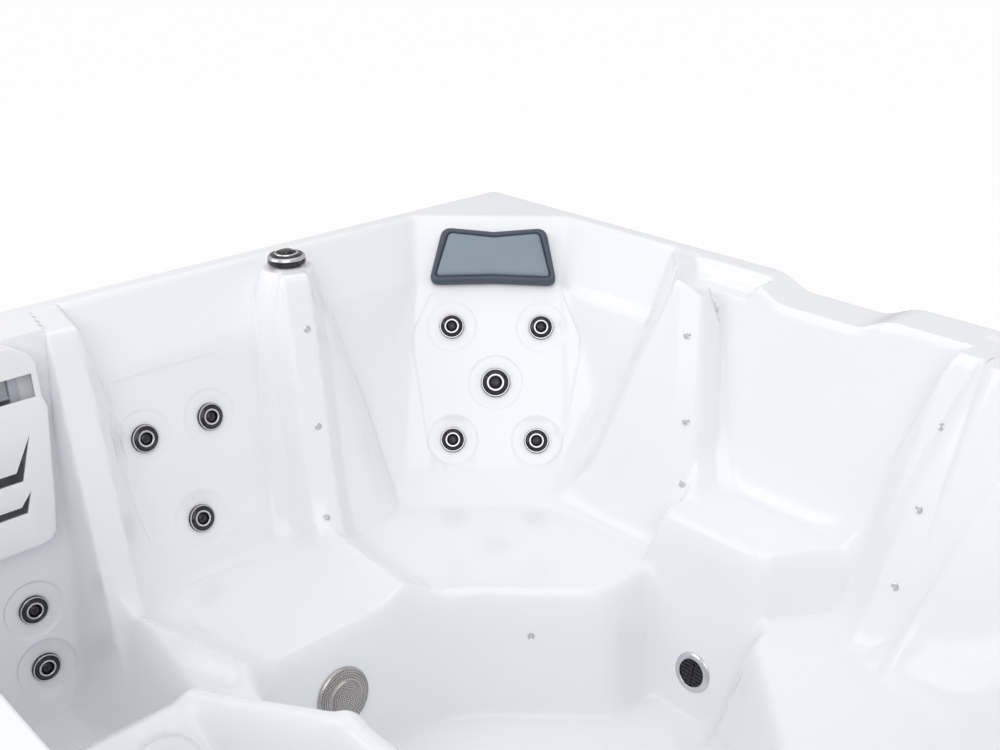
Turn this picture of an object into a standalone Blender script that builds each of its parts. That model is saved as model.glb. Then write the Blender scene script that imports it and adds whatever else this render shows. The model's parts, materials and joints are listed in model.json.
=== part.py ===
"""Square acrylic hot tub: moulded shell with corner seats, a side seat, a lounger and an entry step,
jets, skimmer, pillows, plumbing and cabinet, one object for each piece. Metres, +Z up, floor at z = 0."""

import math

import bmesh
import bpy
import numpy
from mathutils import Matrix, Vector
from mathutils.geometry import delaunay_2d_cdt

# Overall sizes
tub_side = 2.20
rim_height = 0.93
seam_gap = 0.0003
seat_margin = 0.0015
cut_overrun = 0.02

# Shell sheet, lip and skirt
sheet = 0.007
lip_width = 0.04
skirt_drop = 0.085
lip_soft = 0.012
crease_soft = 0.03
corner_flat_depth = 0.25

# Depths below the rim
seat_depth = 0.58
step_depth = 0.45
floor_depth = 0.86
foot_depth = 0.80
armrest_depth = 0.41
low_crest_depth = 0.535
fascia_depth = 0.14
dip_depth = 0.03
scoop_depth = 0.04

# Slopes of the moulded walls, in degrees from level
fascia_angle = 45.0
side_fascia_angle = 53.0
corner_wall_angle = 60.0
side_wall_angle = 74.0
entry_wall_angle = 80.0
foot_wall_angle = 85.0
recline_angle = 50.0
recline_soft = 0.003
ridge_angle = 73.0
north_pillar_side_angle = 78.0
east_pillar_side_angle = 70.0
footwell_angle = 80.0
hump_angle = 55.0
low_crest_angle = 40.0

# Softness of the rounded meetings
seat_round = 0.16
front_round = 0.10
ridge_round = 0.03
hump_round = 0.10
bucket_round = 0.26
bucket_depth = 0.40

# Plan of the footwell: distance of each edge from the tub's middle
footwell_north = 0.43
footwell_south = 0.43
footwell_east = 0.69
footwell_west = 0.17
footwell_north_east = 0.49
footwell_south_east = 0.545
footwell_south_west = 0.40
bay_north = 0.155
bay_south = 0.14
low_crest_x = 0.215
centre_radius = 0.56

# Entry step
step_front = 0.71
step_north = 0.165
step_chamfer_start = -0.10
step_chamfer_run = 0.19
step_chamfer_fall = 0.12

# Decks level with the rim
skimmer_deck = 0.11
east_deck = 0.15
entry_deck = 0.07

# Pillars between the seats: outer end, inner end, half width and start of the slope
pillar_half = 0.03
pillar_reach = 0.40
crest_limit_share = 2.0
pillar_start = 0.085
north_west_pillar_x = -0.205
north_west_pillar_foot_x = -0.25
knob_x = 0.335
knob_y = 0.965
north_pillar_foot_x = 0.235
pillar_foot_y = 0.72
east_pillar_x = 0.915
east_pillar_y = 0.275
east_pillar_foot_x = 0.77
east_pillar_foot_y = 0.15
entry_pillar_x = 0.93
entry_pillar_y = -0.353
entry_pillar_foot_x = 0.79
entry_pillar_foot_y = -0.346
south_pillar_x = 0.31
knob_deck_radius = 0.056
knob_deck_drop = 0.006

# Lounger lane
lane_west = -0.75
lane_east = -0.26
armrest_x = -0.215
armrest_half = 0.03
knee_y = 0.26
knee_east = -0.36
armrest_north = 0.04
foot_front_y = 0.40

# Rim dip by the step and the hand scoop beside it
dip_half = 0.098
dip_run = 0.06
scoop_south = 0.15
scoop_north = 0.36
scoop_west = 0.90
scoop_east = 1.045
scoop_angle = 58.0

# Jets: places on their walls, trim sizes and the barrel through the shell
corner_shift = 0.02
corner_jet_reach = 0.11
corner_jet_low_reach = 0.102
corner_jet_high = 0.22
corner_jet_middle = 0.34
corner_jet_low = 0.463
side_jet_reach = 0.078
side_jet_high = 0.268
side_jet_low = 0.469
foot_jet_x = -0.37
foot_jet_high = 0.52
foot_jet_low = 0.66
calf_jet_x = -0.45
calf_jet_y = 0.19
south_east_shift = -0.055
south_east_reach = 0.085
back_jet_reach = 0.065
back_jet_depth = 0.36
lounger_axis_x = -0.50
jet_radius = 0.0305
large_jet_radius = 0.036
jet_flat_margin = 0.026
jet_recess = 0.004
jet_flat_blend = 0.008
jet_rim_height = 0.008
jet_rim_width = 0.0045
jet_seat_height = 0.003
jet_face_rise = 0.003
jet_barrel_radius = 0.019
jet_cup_radius = 0.027
jet_cup_length = 0.055
jet_bore_radius = 0.0105
jet_bore_depth = 0.030
hole_clearance = 0.001
manifold_radius = 0.0125
jet_sides = 10

# Light points
light_radius = 0.008
light_rise = 0.0025
light_barrel_radius = 0.005
light_barrel_length = 0.024
light_cable_radius = 0.003
light_sides = 8

light_1_x = 0.299
light_1_y = 0.849
light_2_x = 0.272
light_2_y = 0.791
light_3_x = 0.234
light_3_y = 0.725
light_4_x = 0.885
light_4_y = 0.253
light_5_x = 0.847
light_5_y = 0.212
light_6_x = 0.815
light_6_y = 0.186
light_7_x = 0.905
light_7_y = -0.336
light_8_x = 0.842
light_8_y = -0.347
light_9_x = 0.800
light_9_y = -0.344

# Fineness of the shell's mesh
coarse_step = 0.16
tiny_share = 0.001
probe_step = 0.02
slope_step = 0.008
halvings = 40
shell_tolerance = 0.011
refine_rounds = 5
search_count = 5

# Footwell fittings
cover_x = 0.03
cover_height = 0.145
cover_radius = 0.062
cover_rise = 0.020
cover_band = 0.010
drain_y = 0.005
drain_height = 0.080
drain_radius = 0.044
drain_rise = 0.006
fitting_barrel_radius = 0.028
fitting_barrel_length = 0.045
footwell_light_height = 0.18
footwell_light_shift = 0.113

# Diverter valve and knob
knob_radius = 0.043
knob_height = 0.020
knob_grip_radius = 0.030
knob_grip_height = 0.010
knob_socket_radius = 0.0085
spindle_radius = 0.0075
spindle_height = 0.010
valve_radius = 0.030
valve_length = 0.070
valve_neck_radius = 0.014
valve_flange_radius = 0.036
valve_flange_height = 0.003
knob_sides = 20

# Pillow on the corner seat's fascia, and the one at the lounger's head
pillow_top_half = 0.130
pillow_bottom_half = 0.158
pillow_height = 0.146
pillow_top_dip = 0.012
pillow_bottom_rise = 0.005
pillow_inward = 0.088
pillow_shift = 0.010
pillow_thick = 0.028
pillow_side_draw = 0.004
pillow_edge_round = 0.008
pillow_frame_width = 0.017
pillow_pad_depth = 0.009
pillow_pad_edge = 0.014
pillow_crown = 0.006
pillow_round = 0.016
pillow_arc_steps = 3

# Skimmer, measured down the wall that it leans with
skimmer_x = -0.44
skimmer_top = 0.014
skimmer_bottom = 0.44
skimmer_half = 0.165
skimmer_foot_half = 0.140
skimmer_proud = 0.034
skimmer_skin = 0.005
skimmer_hood = 0.070
skimmer_mouth = 0.048
skimmer_corner = 0.035
bucket_half = 0.115
bucket_top = 0.022
bucket_bottom = 0.375
bucket_back = 0.108
bucket_wall = 0.005
bucket_flange = 0.012
bucket_lip = 0.0015
upper_louvre_drop = 0.069
upper_louvre_tip = 0.122
upper_louvre_half = 0.092
upper_louvre_rise = 0.091
upper_louvre_height = 0.021
lower_louvre_drop = 0.183
lower_louvre_tip = 0.103
lower_louvre_half = 0.088
lower_louvre_rise = 0.044
lower_louvre_height = 0.016
louvre_turn = 0.010
weir_thick = 0.004
weir_pin_radius = 0.0035
weir_height = 0.043
cartridge_radius = 0.045
cartridge_length = 0.22
cartridge_cap = 0.012
cartridge_cap_radius = 0.048
cartridge_pleats = 10

# Cabinet, frame and base
panel_thick = 0.018
panel_top_tuck = 0.03
corner_cover_leg = 0.10
pan_height = 0.05
pan_floor = 0.012
pan_wall = 0.030
post_side = 0.05
rail_height = 0.04
rail_depth = 0.03
middle_rail_height = 0.45
board_half = 0.15

# Equipment under the seats
pump_radius = 0.085
pump_length = 0.24
pump_from_side = 0.215
pump_south = 0.50
pump_foot = 0.020
pump_foot_half = 0.06
pump_sides = 16
wet_end_radius = 0.095
wet_end_length = 0.09
port_radius = 0.030
port_length = 0.035
circulation_radius = 0.055
circulation_length = 0.20
circulation_from_side = 0.26
box_length = 0.30
box_depth = 0.11
box_height = 0.24
box_from_side = 0.17
box_y = -0.72
heater_radius = 0.032
heater_length = 0.34
heater_gap = 0.05
heater_foot = 0.03
heater_end_radius = 0.040
heater_end_length = 0.03
blower_radius = 0.075
blower_height = 0.15
blower_foot_radius = 0.09
blower_from_side = 0.26
pipe_radius = 0.025
pipe_sides = 8
pipe_bend = 0.07
bend_steps = 2
suction_lane_y = 0.525
suction_turn_x = 0.60
suction_turn_y = 0.28
tee_length = 0.035
supply_rise = 0.05
supply_run = 0.09

# Topside control panel on the west deck
control_length = 0.19
control_width = 0.10
control_height = 0.012
control_from_side = 0.18
control_y = -0.18
control_edge = 0.004
button_radius = 0.016
button_clearance = 0.0005
button_travel = 0.002
button_rise = 0.003
button_space = 0.055

# Shares of the sizes above that shape small details
dome_shares = ((1.0, 0.45), (0.8, 0.85), (0.4, 1.0))
nozzle_share = 0.34
face_dish_share = 0.45
face_inner_share = 0.72
slot_share = 0.62
drain_bar_share = 0.12
pleat_share = 0.9
grip_share = 0.9
cable_share = 0.8
sharp_angle = 35.0

half_side = tub_side / 2
lip_inner = half_side - lip_width
ROOT2 = math.sqrt(2)


def slope(degrees):
    """Rise for each metre run of a slope given in degrees."""
    return math.tan(math.radians(degrees))


def smooth_low(first, second, reach):
    """Smaller of two heights, rounded where they meet."""
    share = numpy.clip(reach - numpy.abs(first - second), 0, None) / reach
    return numpy.minimum(first, second) - share * share * reach / 4


def smooth_high(first, second, reach):
    """Larger of two heights, rounded where they meet."""
    return -smooth_low(-first, -second, reach)


def wall_drop(inward, level_run, fascia, fascia_deg, wall_deg, soft=crease_soft):
    """Depth below the rim at a distance inward of the lip: a level run, a fascia, then the wall."""
    fascia_slope = slope(fascia_deg)
    crease = level_run + fascia / fascia_slope
    upper = (inward - level_run) * fascia_slope
    lower = fascia + (inward - crease) * slope(wall_deg)
    return smooth_high(upper, lower, soft)


class Ridge:
    """A pillar between two seats: its crest slopes down from the rim along a line in plan."""

    def __init__(self, outer, inner, start, side_angle):
        self.outer = Vector(outer)
        self.way = (Vector(inner) - self.outer).normalized()
        self.start = start
        self.side_slope = slope(side_angle)

    def crest(self, x, y):
        along = (x - self.outer.x) * self.way.x + (y - self.outer.y) * self.way.y
        across = (x - self.outer.x) * self.way.y - (y - self.outer.y) * self.way.x
        top = smooth_high((along - self.start) * slope(ridge_angle), 0 * along, ridge_round)
        return smooth_low(top, crest_limit_share * floor_depth + 0 * x, ridge_round), across, along

    def side(self, x, y, turn):
        """Depth that the pillar's side allows to the seat on one side of it."""
        top, across, along = self.crest(x, y)
        return top + (across * turn - pillar_half) * self.side_slope

    def face(self, x, y):
        """The pillar's own face, which falls away to both sides and ends past its foot."""
        top, across, along = self.crest(x, y)
        out = numpy.clip(numpy.abs(across) - pillar_half, 0, None)
        past = numpy.clip(along - pillar_reach, 0, None)
        return top - (out + past) * self.side_slope


def pillar_ridges():
    """The six pillars, from the one beside the skimmer clockwise to the one beside the head."""
    inner_y = pillar_foot_y
    north_west = (north_west_pillar_x, knob_y)
    north_west_foot = (north_west_pillar_foot_x, inner_y)
    north = (knob_x, knob_y)
    north_foot = (north_pillar_foot_x, inner_y)
    east = (east_pillar_x, east_pillar_y)
    east_foot = (east_pillar_foot_x, east_pillar_foot_y)
    entry = (entry_pillar_x, entry_pillar_y)
    entry_foot = (entry_pillar_foot_x, entry_pillar_foot_y)
    return (
        Ridge(north_west, north_west_foot, pillar_start / 2, north_pillar_side_angle),
        Ridge(north, north_foot, pillar_start, north_pillar_side_angle),
        Ridge(east, east_foot, 0, east_pillar_side_angle),
        Ridge(entry, entry_foot, 0, east_pillar_side_angle),
        Ridge((south_pillar_x, -knob_y), (north_foot[0], -inner_y), pillar_start, north_pillar_side_angle),
        Ridge((north_west[0], -knob_y), (north_west_foot[0], -inner_y), pillar_start,
              north_pillar_side_angle),
    )


def low_of(terms, reach):
    """Smooth lowest of several depths."""
    result = terms[0]
    for term in terms[1:]:
        result = smooth_low(result, term, reach)
    return result


def high_of(terms, reach):
    """Smooth highest of several depths."""
    result = terms[0]
    for term in terms[1:]:
        result = smooth_high(result, term, reach)
    return result


def joined_low(terms):
    """Smooth lowest of wall depths: crisp at the rim, broadly rounded further down."""
    result = terms[0]
    for term in terms[1:]:
        share = numpy.clip((numpy.minimum(result, term) - fascia_depth) / bucket_depth, 0, 1)
        result = smooth_low(result, term, lip_soft + share * bucket_round)
    return result


def half_limit(toward):
    """Keeps a seat's walls to its own side of the tub."""
    return (toward + centre_radius) * slope(side_wall_angle)


def wall_depth(x, y):
    """How deep the moulded walls let each seat reach at a place in plan."""
    ridges = pillar_ridges()
    lane_edge = Ridge(
        (north_west_pillar_x, knob_y), (north_west_pillar_foot_x, pillar_foot_y), pillar_start / 2,
        foot_wall_angle)
    corner_line = half_side * ROOT2 - corner_flat_depth
    north = lip_inner - y
    south = lip_inner + y
    east = lip_inner - x
    west_wall = (x - lane_west) * slope(side_wall_angle)
    north_wall = wall_drop(north, 0, fascia_depth, side_fascia_angle, side_wall_angle)
    south_wall = wall_drop(south, 0, fascia_depth, side_fascia_angle, side_wall_angle)
    east_wall = wall_drop(east, 0, fascia_depth, side_fascia_angle, side_wall_angle)
    foot_wall = (north - skimmer_deck) * slope(foot_wall_angle)
    recline = wall_drop(south, 0, fascia_depth, fascia_angle, recline_angle, recline_soft)
    corner_ne = joined_low((
        wall_drop(corner_line - (x + y) / ROOT2, 0, fascia_depth, fascia_angle, corner_wall_angle),
        north_wall, east_wall, half_limit(x + y), ridges[1].side(x, y, -1), ridges[2].side(x, y, 1)))
    seat_n = joined_low((
        north_wall, half_limit(y), ridges[0].side(x, y, -1), ridges[1].side(x, y, 1)))
    seat_s = joined_low((
        south_wall, half_limit(-y), ridges[4].side(x, y, -1), ridges[5].side(x, y, 1)))
    lane_n = joined_low((foot_wall, west_wall, half_limit(y), lane_edge.side(x, y, 1)))
    lane_s = joined_low((recline, west_wall, half_limit(-y), ridges[5].side(x, y, -1)))
    entry = joined_low((
        (east - entry_deck) * slope(entry_wall_angle),
        half_limit(x), ridges[2].side(x, y, -1), ridges[3].side(x, y, 1)))
    corner_se = joined_low((
        wall_drop(corner_line - (x - y) / ROOT2, 0, fascia_depth, fascia_angle, corner_wall_angle),
        (east - east_deck) * slope(side_wall_angle),
        south_wall, half_limit(x - y), ridges[3].side(x, y, -1), ridges[4].side(x, y, 1)))
    middle = floor_depth + (centre_radius - numpy.hypot(x, y)) * slope(side_wall_angle)
    rim_limit = low_of((north_wall, south_wall, east_wall, west_wall), crease_soft)
    faces = high_of([ridge.face(x, y) for ridge in ridges], ridge_round)
    pockets = high_of((corner_ne, seat_n, seat_s, lane_n, lane_s, entry, corner_se, middle), ridge_round)
    pockets = smooth_low(pockets, west_wall, crease_soft)
    walls = smooth_high(pockets, smooth_low(faces, rim_limit, crease_soft), ridge_round)
    deck = (numpy.hypot(x - knob_x, y - knob_y) - knob_deck_radius) * slope(side_wall_angle)
    return smooth_low(walls, smooth_high(deck, knob_deck_drop + 0 * x, lip_soft), lip_soft)


def footwell_drop(x, y):
    """Depth of the footwell, whose walls start at the seats' front edges."""
    main = low_of((
        footwell_north - y,
        footwell_south + y,
        footwell_east - x,
        footwell_west + x,
        footwell_north_east - (x + y) / ROOT2,
        footwell_south_east - (x - y) / ROOT2,
        footwell_south_west + (x + y) / ROOT2), front_round)
    bay = low_of((footwell_east - x, bay_north - y, y + bay_south, x), front_round / 2)
    inward = smooth_high(main, bay, ridge_round)
    return smooth_low(seat_depth + inward * slope(footwell_angle), floor_depth + 0 * x, front_round)


def crest_between(x, y, outer, inner, half, top, angle, reach):
    """A low crest along a line in plan, falling to both sides and past both ends."""
    start = Vector(outer)
    line = Vector(inner) - start
    along = ((x - start.x) * line.x + (y - start.y) * line.y) / line.length_squared
    along = numpy.clip(along, 0, 1)
    away = numpy.hypot(x - start.x - along * line.x, y - start.y - along * line.y)
    return smooth_high((away - half) * slope(angle), 0 * x, reach) + top


def terrain_depth(x, y):
    """Depth of seats, step, footwell and lounger, without the walls round them."""
    ground = seat_depth + 0 * x
    crests = (
        ((north_pillar_foot_x, pillar_foot_y), (low_crest_x, footwell_north)),
        ((north_pillar_foot_x, -pillar_foot_y), (low_crest_x, -footwell_south)),
        ((north_west_pillar_foot_x, pillar_foot_y), (-footwell_west, footwell_north)))
    for outer, inner in crests:
        crest = crest_between(x, y, outer, inner, 0, low_crest_depth, low_crest_angle, ridge_round)
        ground = smooth_low(ground, crest, ridge_round)
    ground = smooth_high(ground, footwell_drop(x, y), front_round)
    foot = low_of((lane_east - x, x - lane_west, y - foot_front_y), front_round / 2)
    foot_drop = smooth_low(seat_depth + foot * slope(side_wall_angle), foot_depth + 0 * x, front_round)
    ground = smooth_high(ground, foot_drop, front_round / 2)
    chamfer = Vector((step_chamfer_run, -step_chamfer_fall)).normalized()
    outside = high_of((
        step_front - x,
        y - step_north,
        (x - step_front) * chamfer.y - (y - step_chamfer_start) * chamfer.x), crease_soft)
    step = step_depth + smooth_high(outside, 0 * x, lip_soft) * slope(footwell_angle)
    ground = smooth_low(ground, step, ridge_round)
    turns = ((lane_west, knee_y), (knee_east, knee_y), (armrest_x, armrest_north), (armrest_x, -footwell_south))
    for index, angle in enumerate((hump_angle, side_wall_angle, side_wall_angle)):
        hump = crest_between(
            x, y, turns[index], turns[index + 1], armrest_half, armrest_depth, angle, hump_round)
        ground = smooth_low(ground, hump, ridge_round)
    return ground


def rim_marks(x, y):
    """The rim's dip by the entry and the hand scoop beside it."""
    side = (dip_half + dip_run - numpy.abs(y)) * dip_depth / dip_run
    dip = low_of((side, dip_depth + 0 * x, x - lip_inner / 2), crease_soft / 3)
    scoop = low_of((
        (y - scoop_south) * slope(scoop_angle),
        (scoop_north - y) * slope(scoop_angle),
        (x - scoop_west) * slope(scoop_angle),
        (scoop_east - x) * slope(scoop_angle),
        scoop_depth + 0 * x), crease_soft / 2)
    return smooth_high(dip, scoop, crease_soft / 3)


def plain_depth(x, y):
    """Depth of the moulded surface below the rim, without the flats round the jets."""
    walls = smooth_high(wall_depth(x, y), 0 * x, lip_soft)
    depth = smooth_low(walls, terrain_depth(x, y), seat_round)
    return smooth_high(depth, rim_marks(x, y), lip_soft)


class Spot:
    """A place on the shell where a fitting sits: its point, outward normal and level plane."""

    def __init__(self, x, y, radius, recess):
        probe = numpy.array((0.0, slope_step, -slope_step))
        across = plain_depth(x + probe, y + 0 * probe)
        along = plain_depth(x + 0 * probe, y + probe)
        run = probe[1] - probe[2]
        self.x = x
        self.y = y
        self.slope_x = float(across[1] - across[2]) / run
        self.slope_y = float(along[1] - along[2]) / run
        self.steepness = math.sqrt(1 + self.slope_x ** 2 + self.slope_y ** 2)
        self.depth = float(across[0]) + recess * self.steepness
        self.radius = radius
        self.normal = Vector((self.slope_x, self.slope_y, 1)) / self.steepness
        self.point = Vector((x, y, rim_height - self.depth))

    def plane(self, x, y):
        return self.depth + self.slope_x * (x - self.x) + self.slope_y * (y - self.y)

    def distance(self, x, y):
        """Distance from the spot measured in its own plane."""
        fall = self.plane(x, y) - self.depth
        return numpy.sqrt((x - self.x) ** 2 + (y - self.y) ** 2 + fall ** 2)

    def frame(self):
        """Turns +Z to the normal and puts the origin on the spot."""
        return Matrix.Translation(self.point) @ self.normal.to_track_quat("Z", "Y").to_matrix().to_4x4()


def place_at_depth(start, inward, depth):
    """Walks inward from the rim until the shell is as deep as asked, and gives that place in plan."""
    near = 0.0
    far = half_side - pillar_foot_y / 2
    for _ in range(halvings):
        middle = (near + far) / 2
        here = plain_depth(numpy.array([start[0] + inward[0] * middle]),
                           numpy.array([start[1] + inward[1] * middle]))
        if float(here[0]) < depth:
            near = middle
        else:
            far = middle
    return start[0] + inward[0] * near, start[1] + inward[1] * near


def corner_place(turn, across, depth):
    """A place on a corner seat's back: turn is 1 for the north-east corner, -1 for the south-east."""
    across = across / ROOT2
    start = (half_side + across - corner_flat_depth / 2, turn * (half_side - across - corner_flat_depth / 2))
    return place_at_depth(start, (-1 / ROOT2, -turn / ROOT2), depth)


def jet_table():
    """Every jet: its set, its place in plan and its trim radius."""
    north = (0, -1)
    south = (0, 1)
    table = []
    for reach, depth, radius in (
            (-corner_jet_reach, corner_jet_high, jet_radius),
            (-corner_jet_low_reach, corner_jet_low, jet_radius),
            (0, corner_jet_middle, large_jet_radius),
            (corner_jet_low_reach, corner_jet_low, jet_radius),
            (corner_jet_reach, corner_jet_high, jet_radius)):
        table.append(("corner", corner_place(1, corner_shift + reach, depth), radius))
    for x, depth in ((-side_jet_reach, side_jet_high), (0, side_jet_low), (side_jet_reach, side_jet_high)):
        table.append(("side", place_at_depth((x, lip_inner), north, depth), jet_radius))
    for depth in (foot_jet_high, foot_jet_low):
        table.append(("foot", place_at_depth((foot_jet_x, lip_inner), north, depth), jet_radius))
    table.append(("calf", (calf_jet_x, calf_jet_y), jet_radius))
    for x, depth in ((-side_jet_reach, side_jet_high), (0, side_jet_low), (side_jet_reach, side_jet_high)):
        table.append(("south", place_at_depth((x, -lip_inner), south, depth), jet_radius))
    for reach, depth in ((-south_east_reach, corner_jet_high), (0, corner_jet_middle),
                         (south_east_reach, corner_jet_high)):
        table.append(("south_east", corner_place(-1, south_east_shift + reach, depth), jet_radius))
    for side in (-1, 1):
        place = place_at_depth((lounger_axis_x + side * back_jet_reach, -lip_inner), south, back_jet_depth)
        table.append(("lounger", place, jet_radius))
    return table


def light_table():
    """Every light point: its string and its place in plan."""
    table = []
    for group, places in (
            ("north", ((light_1_x, light_1_y), (light_2_x, light_2_y), (light_3_x, light_3_y))),
            ("east", ((light_4_x, light_4_y), (light_5_x, light_5_y), (light_6_x, light_6_y))),
            ("entry", ((light_7_x, light_7_y), (light_8_x, light_8_y), (light_9_x, light_9_y)))):
        table += [(group, place, light_radius) for place in places]
    return table


def wall_run(height, top_depth):
    """How far a footwell wall leans in between a depth and a height over the footwell floor."""
    return (floor_depth - height - top_depth) / slope(footwell_angle)


def fitting_table():
    """The footwell's fittings, the diverter valve and the control panel, by name."""
    cover_y = footwell_north - wall_run(cover_height, seat_depth)
    drain_x = footwell_east - wall_run(drain_height, seat_depth)
    light_b = footwell_north_east - wall_run(footwell_light_height, seat_depth)
    light_x = (light_b + footwell_light_shift) / ROOT2
    light_y = (light_b - footwell_light_shift) / ROOT2
    return {
        "suction": Spot(cover_x, cover_y, cover_radius + jet_flat_blend, 0),
        "drain": Spot(drain_x, drain_y, drain_radius + jet_flat_blend, 0),
        "footwell_light": Spot(light_x, light_y, light_radius + jet_flat_blend, 0),
        "knob": Spot(knob_x, knob_y, knob_radius + jet_flat_blend, 0),
    }


def flat_spots():
    """Every level or recessed round flat moulded in the shell."""
    spots = []
    for _, place, radius in jet_table():
        spots.append(Spot(place[0], place[1], radius + jet_flat_margin, jet_recess))
    for _, place, radius in light_table():
        spots.append(Spot(place[0], place[1], radius + jet_flat_blend / 2, 0))
    return spots + list(fitting_table().values())


def shell_depth(x, y, spots):
    """Depth of the shell's upper face below the rim, with its flats."""
    depth = plain_depth(x, y)
    for spot in spots:
        share = numpy.clip((spot.radius + jet_flat_blend - spot.distance(x, y)) / jet_flat_blend, 0, 1)
        share = share * share * (3 - 2 * share)
        depth = depth * (1 - share) + spot.plane(x, y) * share
    return depth


def ring_points(spot, radius, count):
    """Points in plan of a circle that lies in a spot's plane."""
    frame = spot.frame().to_3x3()
    points = []
    for index in range(count):
        turn = 2 * math.pi * index / count
        offset = frame @ Vector((math.cos(turn), math.sin(turn), 0))
        points.append((spot.x + offset.x * radius, spot.y + offset.y * radius))
    return points


def triangle_errors(points, heights, triangles, probe_x, probe_y, probe_z, steepness):
    """For each triangle, the probe that lies furthest from it, or nothing where all fit."""
    worst = []
    count = len(probe_x)
    step = probe_x[1] - probe_x[0]
    for first, second, third in triangles:
        corners = points[[first, second, third]]
        low = numpy.ceil((corners.min(axis=0) - probe_x[0]) / step).astype(int)
        high = numpy.floor((corners.max(axis=0) - probe_x[0]) / step).astype(int)
        if high[0] < low[0] or high[1] < low[1]:
            continue
        rows = slice(max(low[1], 0), min(high[1], count - 1) + 1)
        columns = slice(max(low[0], 0), min(high[0], count - 1) + 1)
        px, py = numpy.meshgrid(probe_x[columns], probe_y[rows])
        (ax, ay), (bx, by), (cx, cy) = corners
        area = (bx - ax) * (cy - ay) - (cx - ax) * (by - ay)
        if abs(area) < step * step * tiny_share:
            continue
        share_b = ((px - ax) * (cy - ay) - (cx - ax) * (py - ay)) / area
        share_c = ((bx - ax) * (py - ay) - (px - ax) * (by - ay)) / area
        inside = (share_b > 0) & (share_c > 0) & (share_b + share_c < 1)
        if not inside.any():
            continue
        flat = heights[first] + share_b * (heights[second] - heights[first]) \
            + share_c * (heights[third] - heights[first])
        error = numpy.where(inside, numpy.abs(flat - probe_z[rows, columns]) / steepness[rows, columns], 0)
        place = numpy.unravel_index(int(error.argmax()), error.shape)
        if error[place] > shell_tolerance:
            worst.append((float(px[place]), float(py[place])))
    return worst


def upright(matrix_x, matrix_y, matrix_z, origin):
    """Placing matrix from three axes and an origin."""
    rows = Matrix((matrix_x, matrix_y, matrix_z)).transposed().to_4x4()
    return Matrix.Translation(origin) @ rows


def bow_tie_corners(inset):
    """Corners of the pillow's outline, drawn in by an inset."""
    tall = pillow_height / 2
    corners = (
        (-pillow_bottom_half + inset, -tall + inset), (0, -tall + pillow_bottom_rise + inset),
        (pillow_bottom_half - inset, -tall + inset), (pillow_top_half - inset, tall - inset),
        (0, tall - pillow_top_dip - inset), (-pillow_top_half + inset, tall - inset))
    return [Vector((x, y, 0)) for x, y in corners]


def bow_tie(inset):
    """Pillow outline with rounded corners, drawn in by an inset."""
    corners = bow_tie_corners(inset)
    round_run = max(pillow_round - inset, pillow_round * face_dish_share)
    outline = []
    for index, corner in enumerate(corners):
        before = corners[index - 1]
        after = corners[(index + 1) % len(corners)]
        run = round_run if corner.x else 0
        start = corner + (before - corner).normalized() * run
        end = corner + (after - corner).normalized() * run
        steps = pillow_arc_steps if run else 0
        for step in range(steps + 1):
            share = step / max(steps, 1)
            outline.append(start.lerp(corner, share).lerp(corner.lerp(end, share), share).to_2d())
    return outline


def pillow_frames():
    """Placing matrices of the two pillows, each square to its fascia."""
    lean = math.radians(fascia_angle)
    across = Vector((1, -1, 0)).normalized()
    corner = Vector((1, 1, 0)).normalized() * (half_side * ROOT2 - corner_flat_depth) + across * pillow_shift
    frames = []
    for name, along, inward, start in (
            ("corner", across, Vector((-1, -1, 0)).normalized(), corner),
            ("lounger", Vector((-1, 0, 0)), Vector((0, 1, 0)), Vector((lounger_axis_x, -lip_inner, 0)))):
        up = Vector((0, 0, math.sin(lean))) - inward * math.cos(lean)
        centre = start + inward * pillow_inward
        centre.z = rim_height - pillow_inward * slope(fascia_angle)
        frames.append((name, upright(along, up, along.cross(up), centre)))
    return frames


def skimmer_frame():
    """Origin where the foot wall meets the rim, X along the wall, Y behind it, Z up the wall."""
    lean = math.radians(foot_wall_angle)
    along = Vector((1, 0, 0))
    up = Vector((0, math.cos(lean), math.sin(lean)))
    return upright(along, up.cross(along), up, Vector((skimmer_x, lip_inner - skimmer_deck, rim_height)))


def skimmer_outline(inset):
    """Front cover's outline in the wall's own frame: across, and up the wall."""
    low = -skimmer_bottom + inset
    corner = skimmer_corner
    half = skimmer_half - inset
    foot = skimmer_foot_half - inset
    right = [(foot - corner, low), (foot - corner * nozzle_share, low + corner * nozzle_share),
             (foot, low + corner), (half, -skimmer_top - inset)]
    return right + [(-x, z) for x, z in reversed(right)]


def sharpest_near(places):
    """Moves each place in plan to the sharpest bend of the moulding close to it."""
    reach = numpy.linspace(-probe_step / 2, probe_step / 2, search_count)
    shift_x, shift_y = numpy.meshgrid(reach, reach)
    places = numpy.array(places)
    limit = half_side - probe_step / 2
    x = numpy.clip(places[:, :1] + shift_x.ravel(), -limit, limit)
    y = numpy.clip(places[:, 1:] + shift_y.ravel(), -limit, limit)
    step = probe_step / 4
    bend = numpy.abs(plain_depth(x + step, y) + plain_depth(x - step, y) + plain_depth(x, y + step)
                     + plain_depth(x, y - step) - 4 * plain_depth(x, y))
    best = bend.argmax(axis=1)
    rows = numpy.arange(len(places))
    return list(zip(x[rows, best].tolist(), y[rows, best].tolist()))


def plan_mesh(places, rims):
    """Triangles between places in plan that keep the rims of the flats as edges."""
    points, _, triangles, _, _, _ = delaunay_2d_cdt([Vector(place) for place in places], rims, [], 0, seam_gap)
    return numpy.array([tuple(point) for point in points]), triangles


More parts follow.
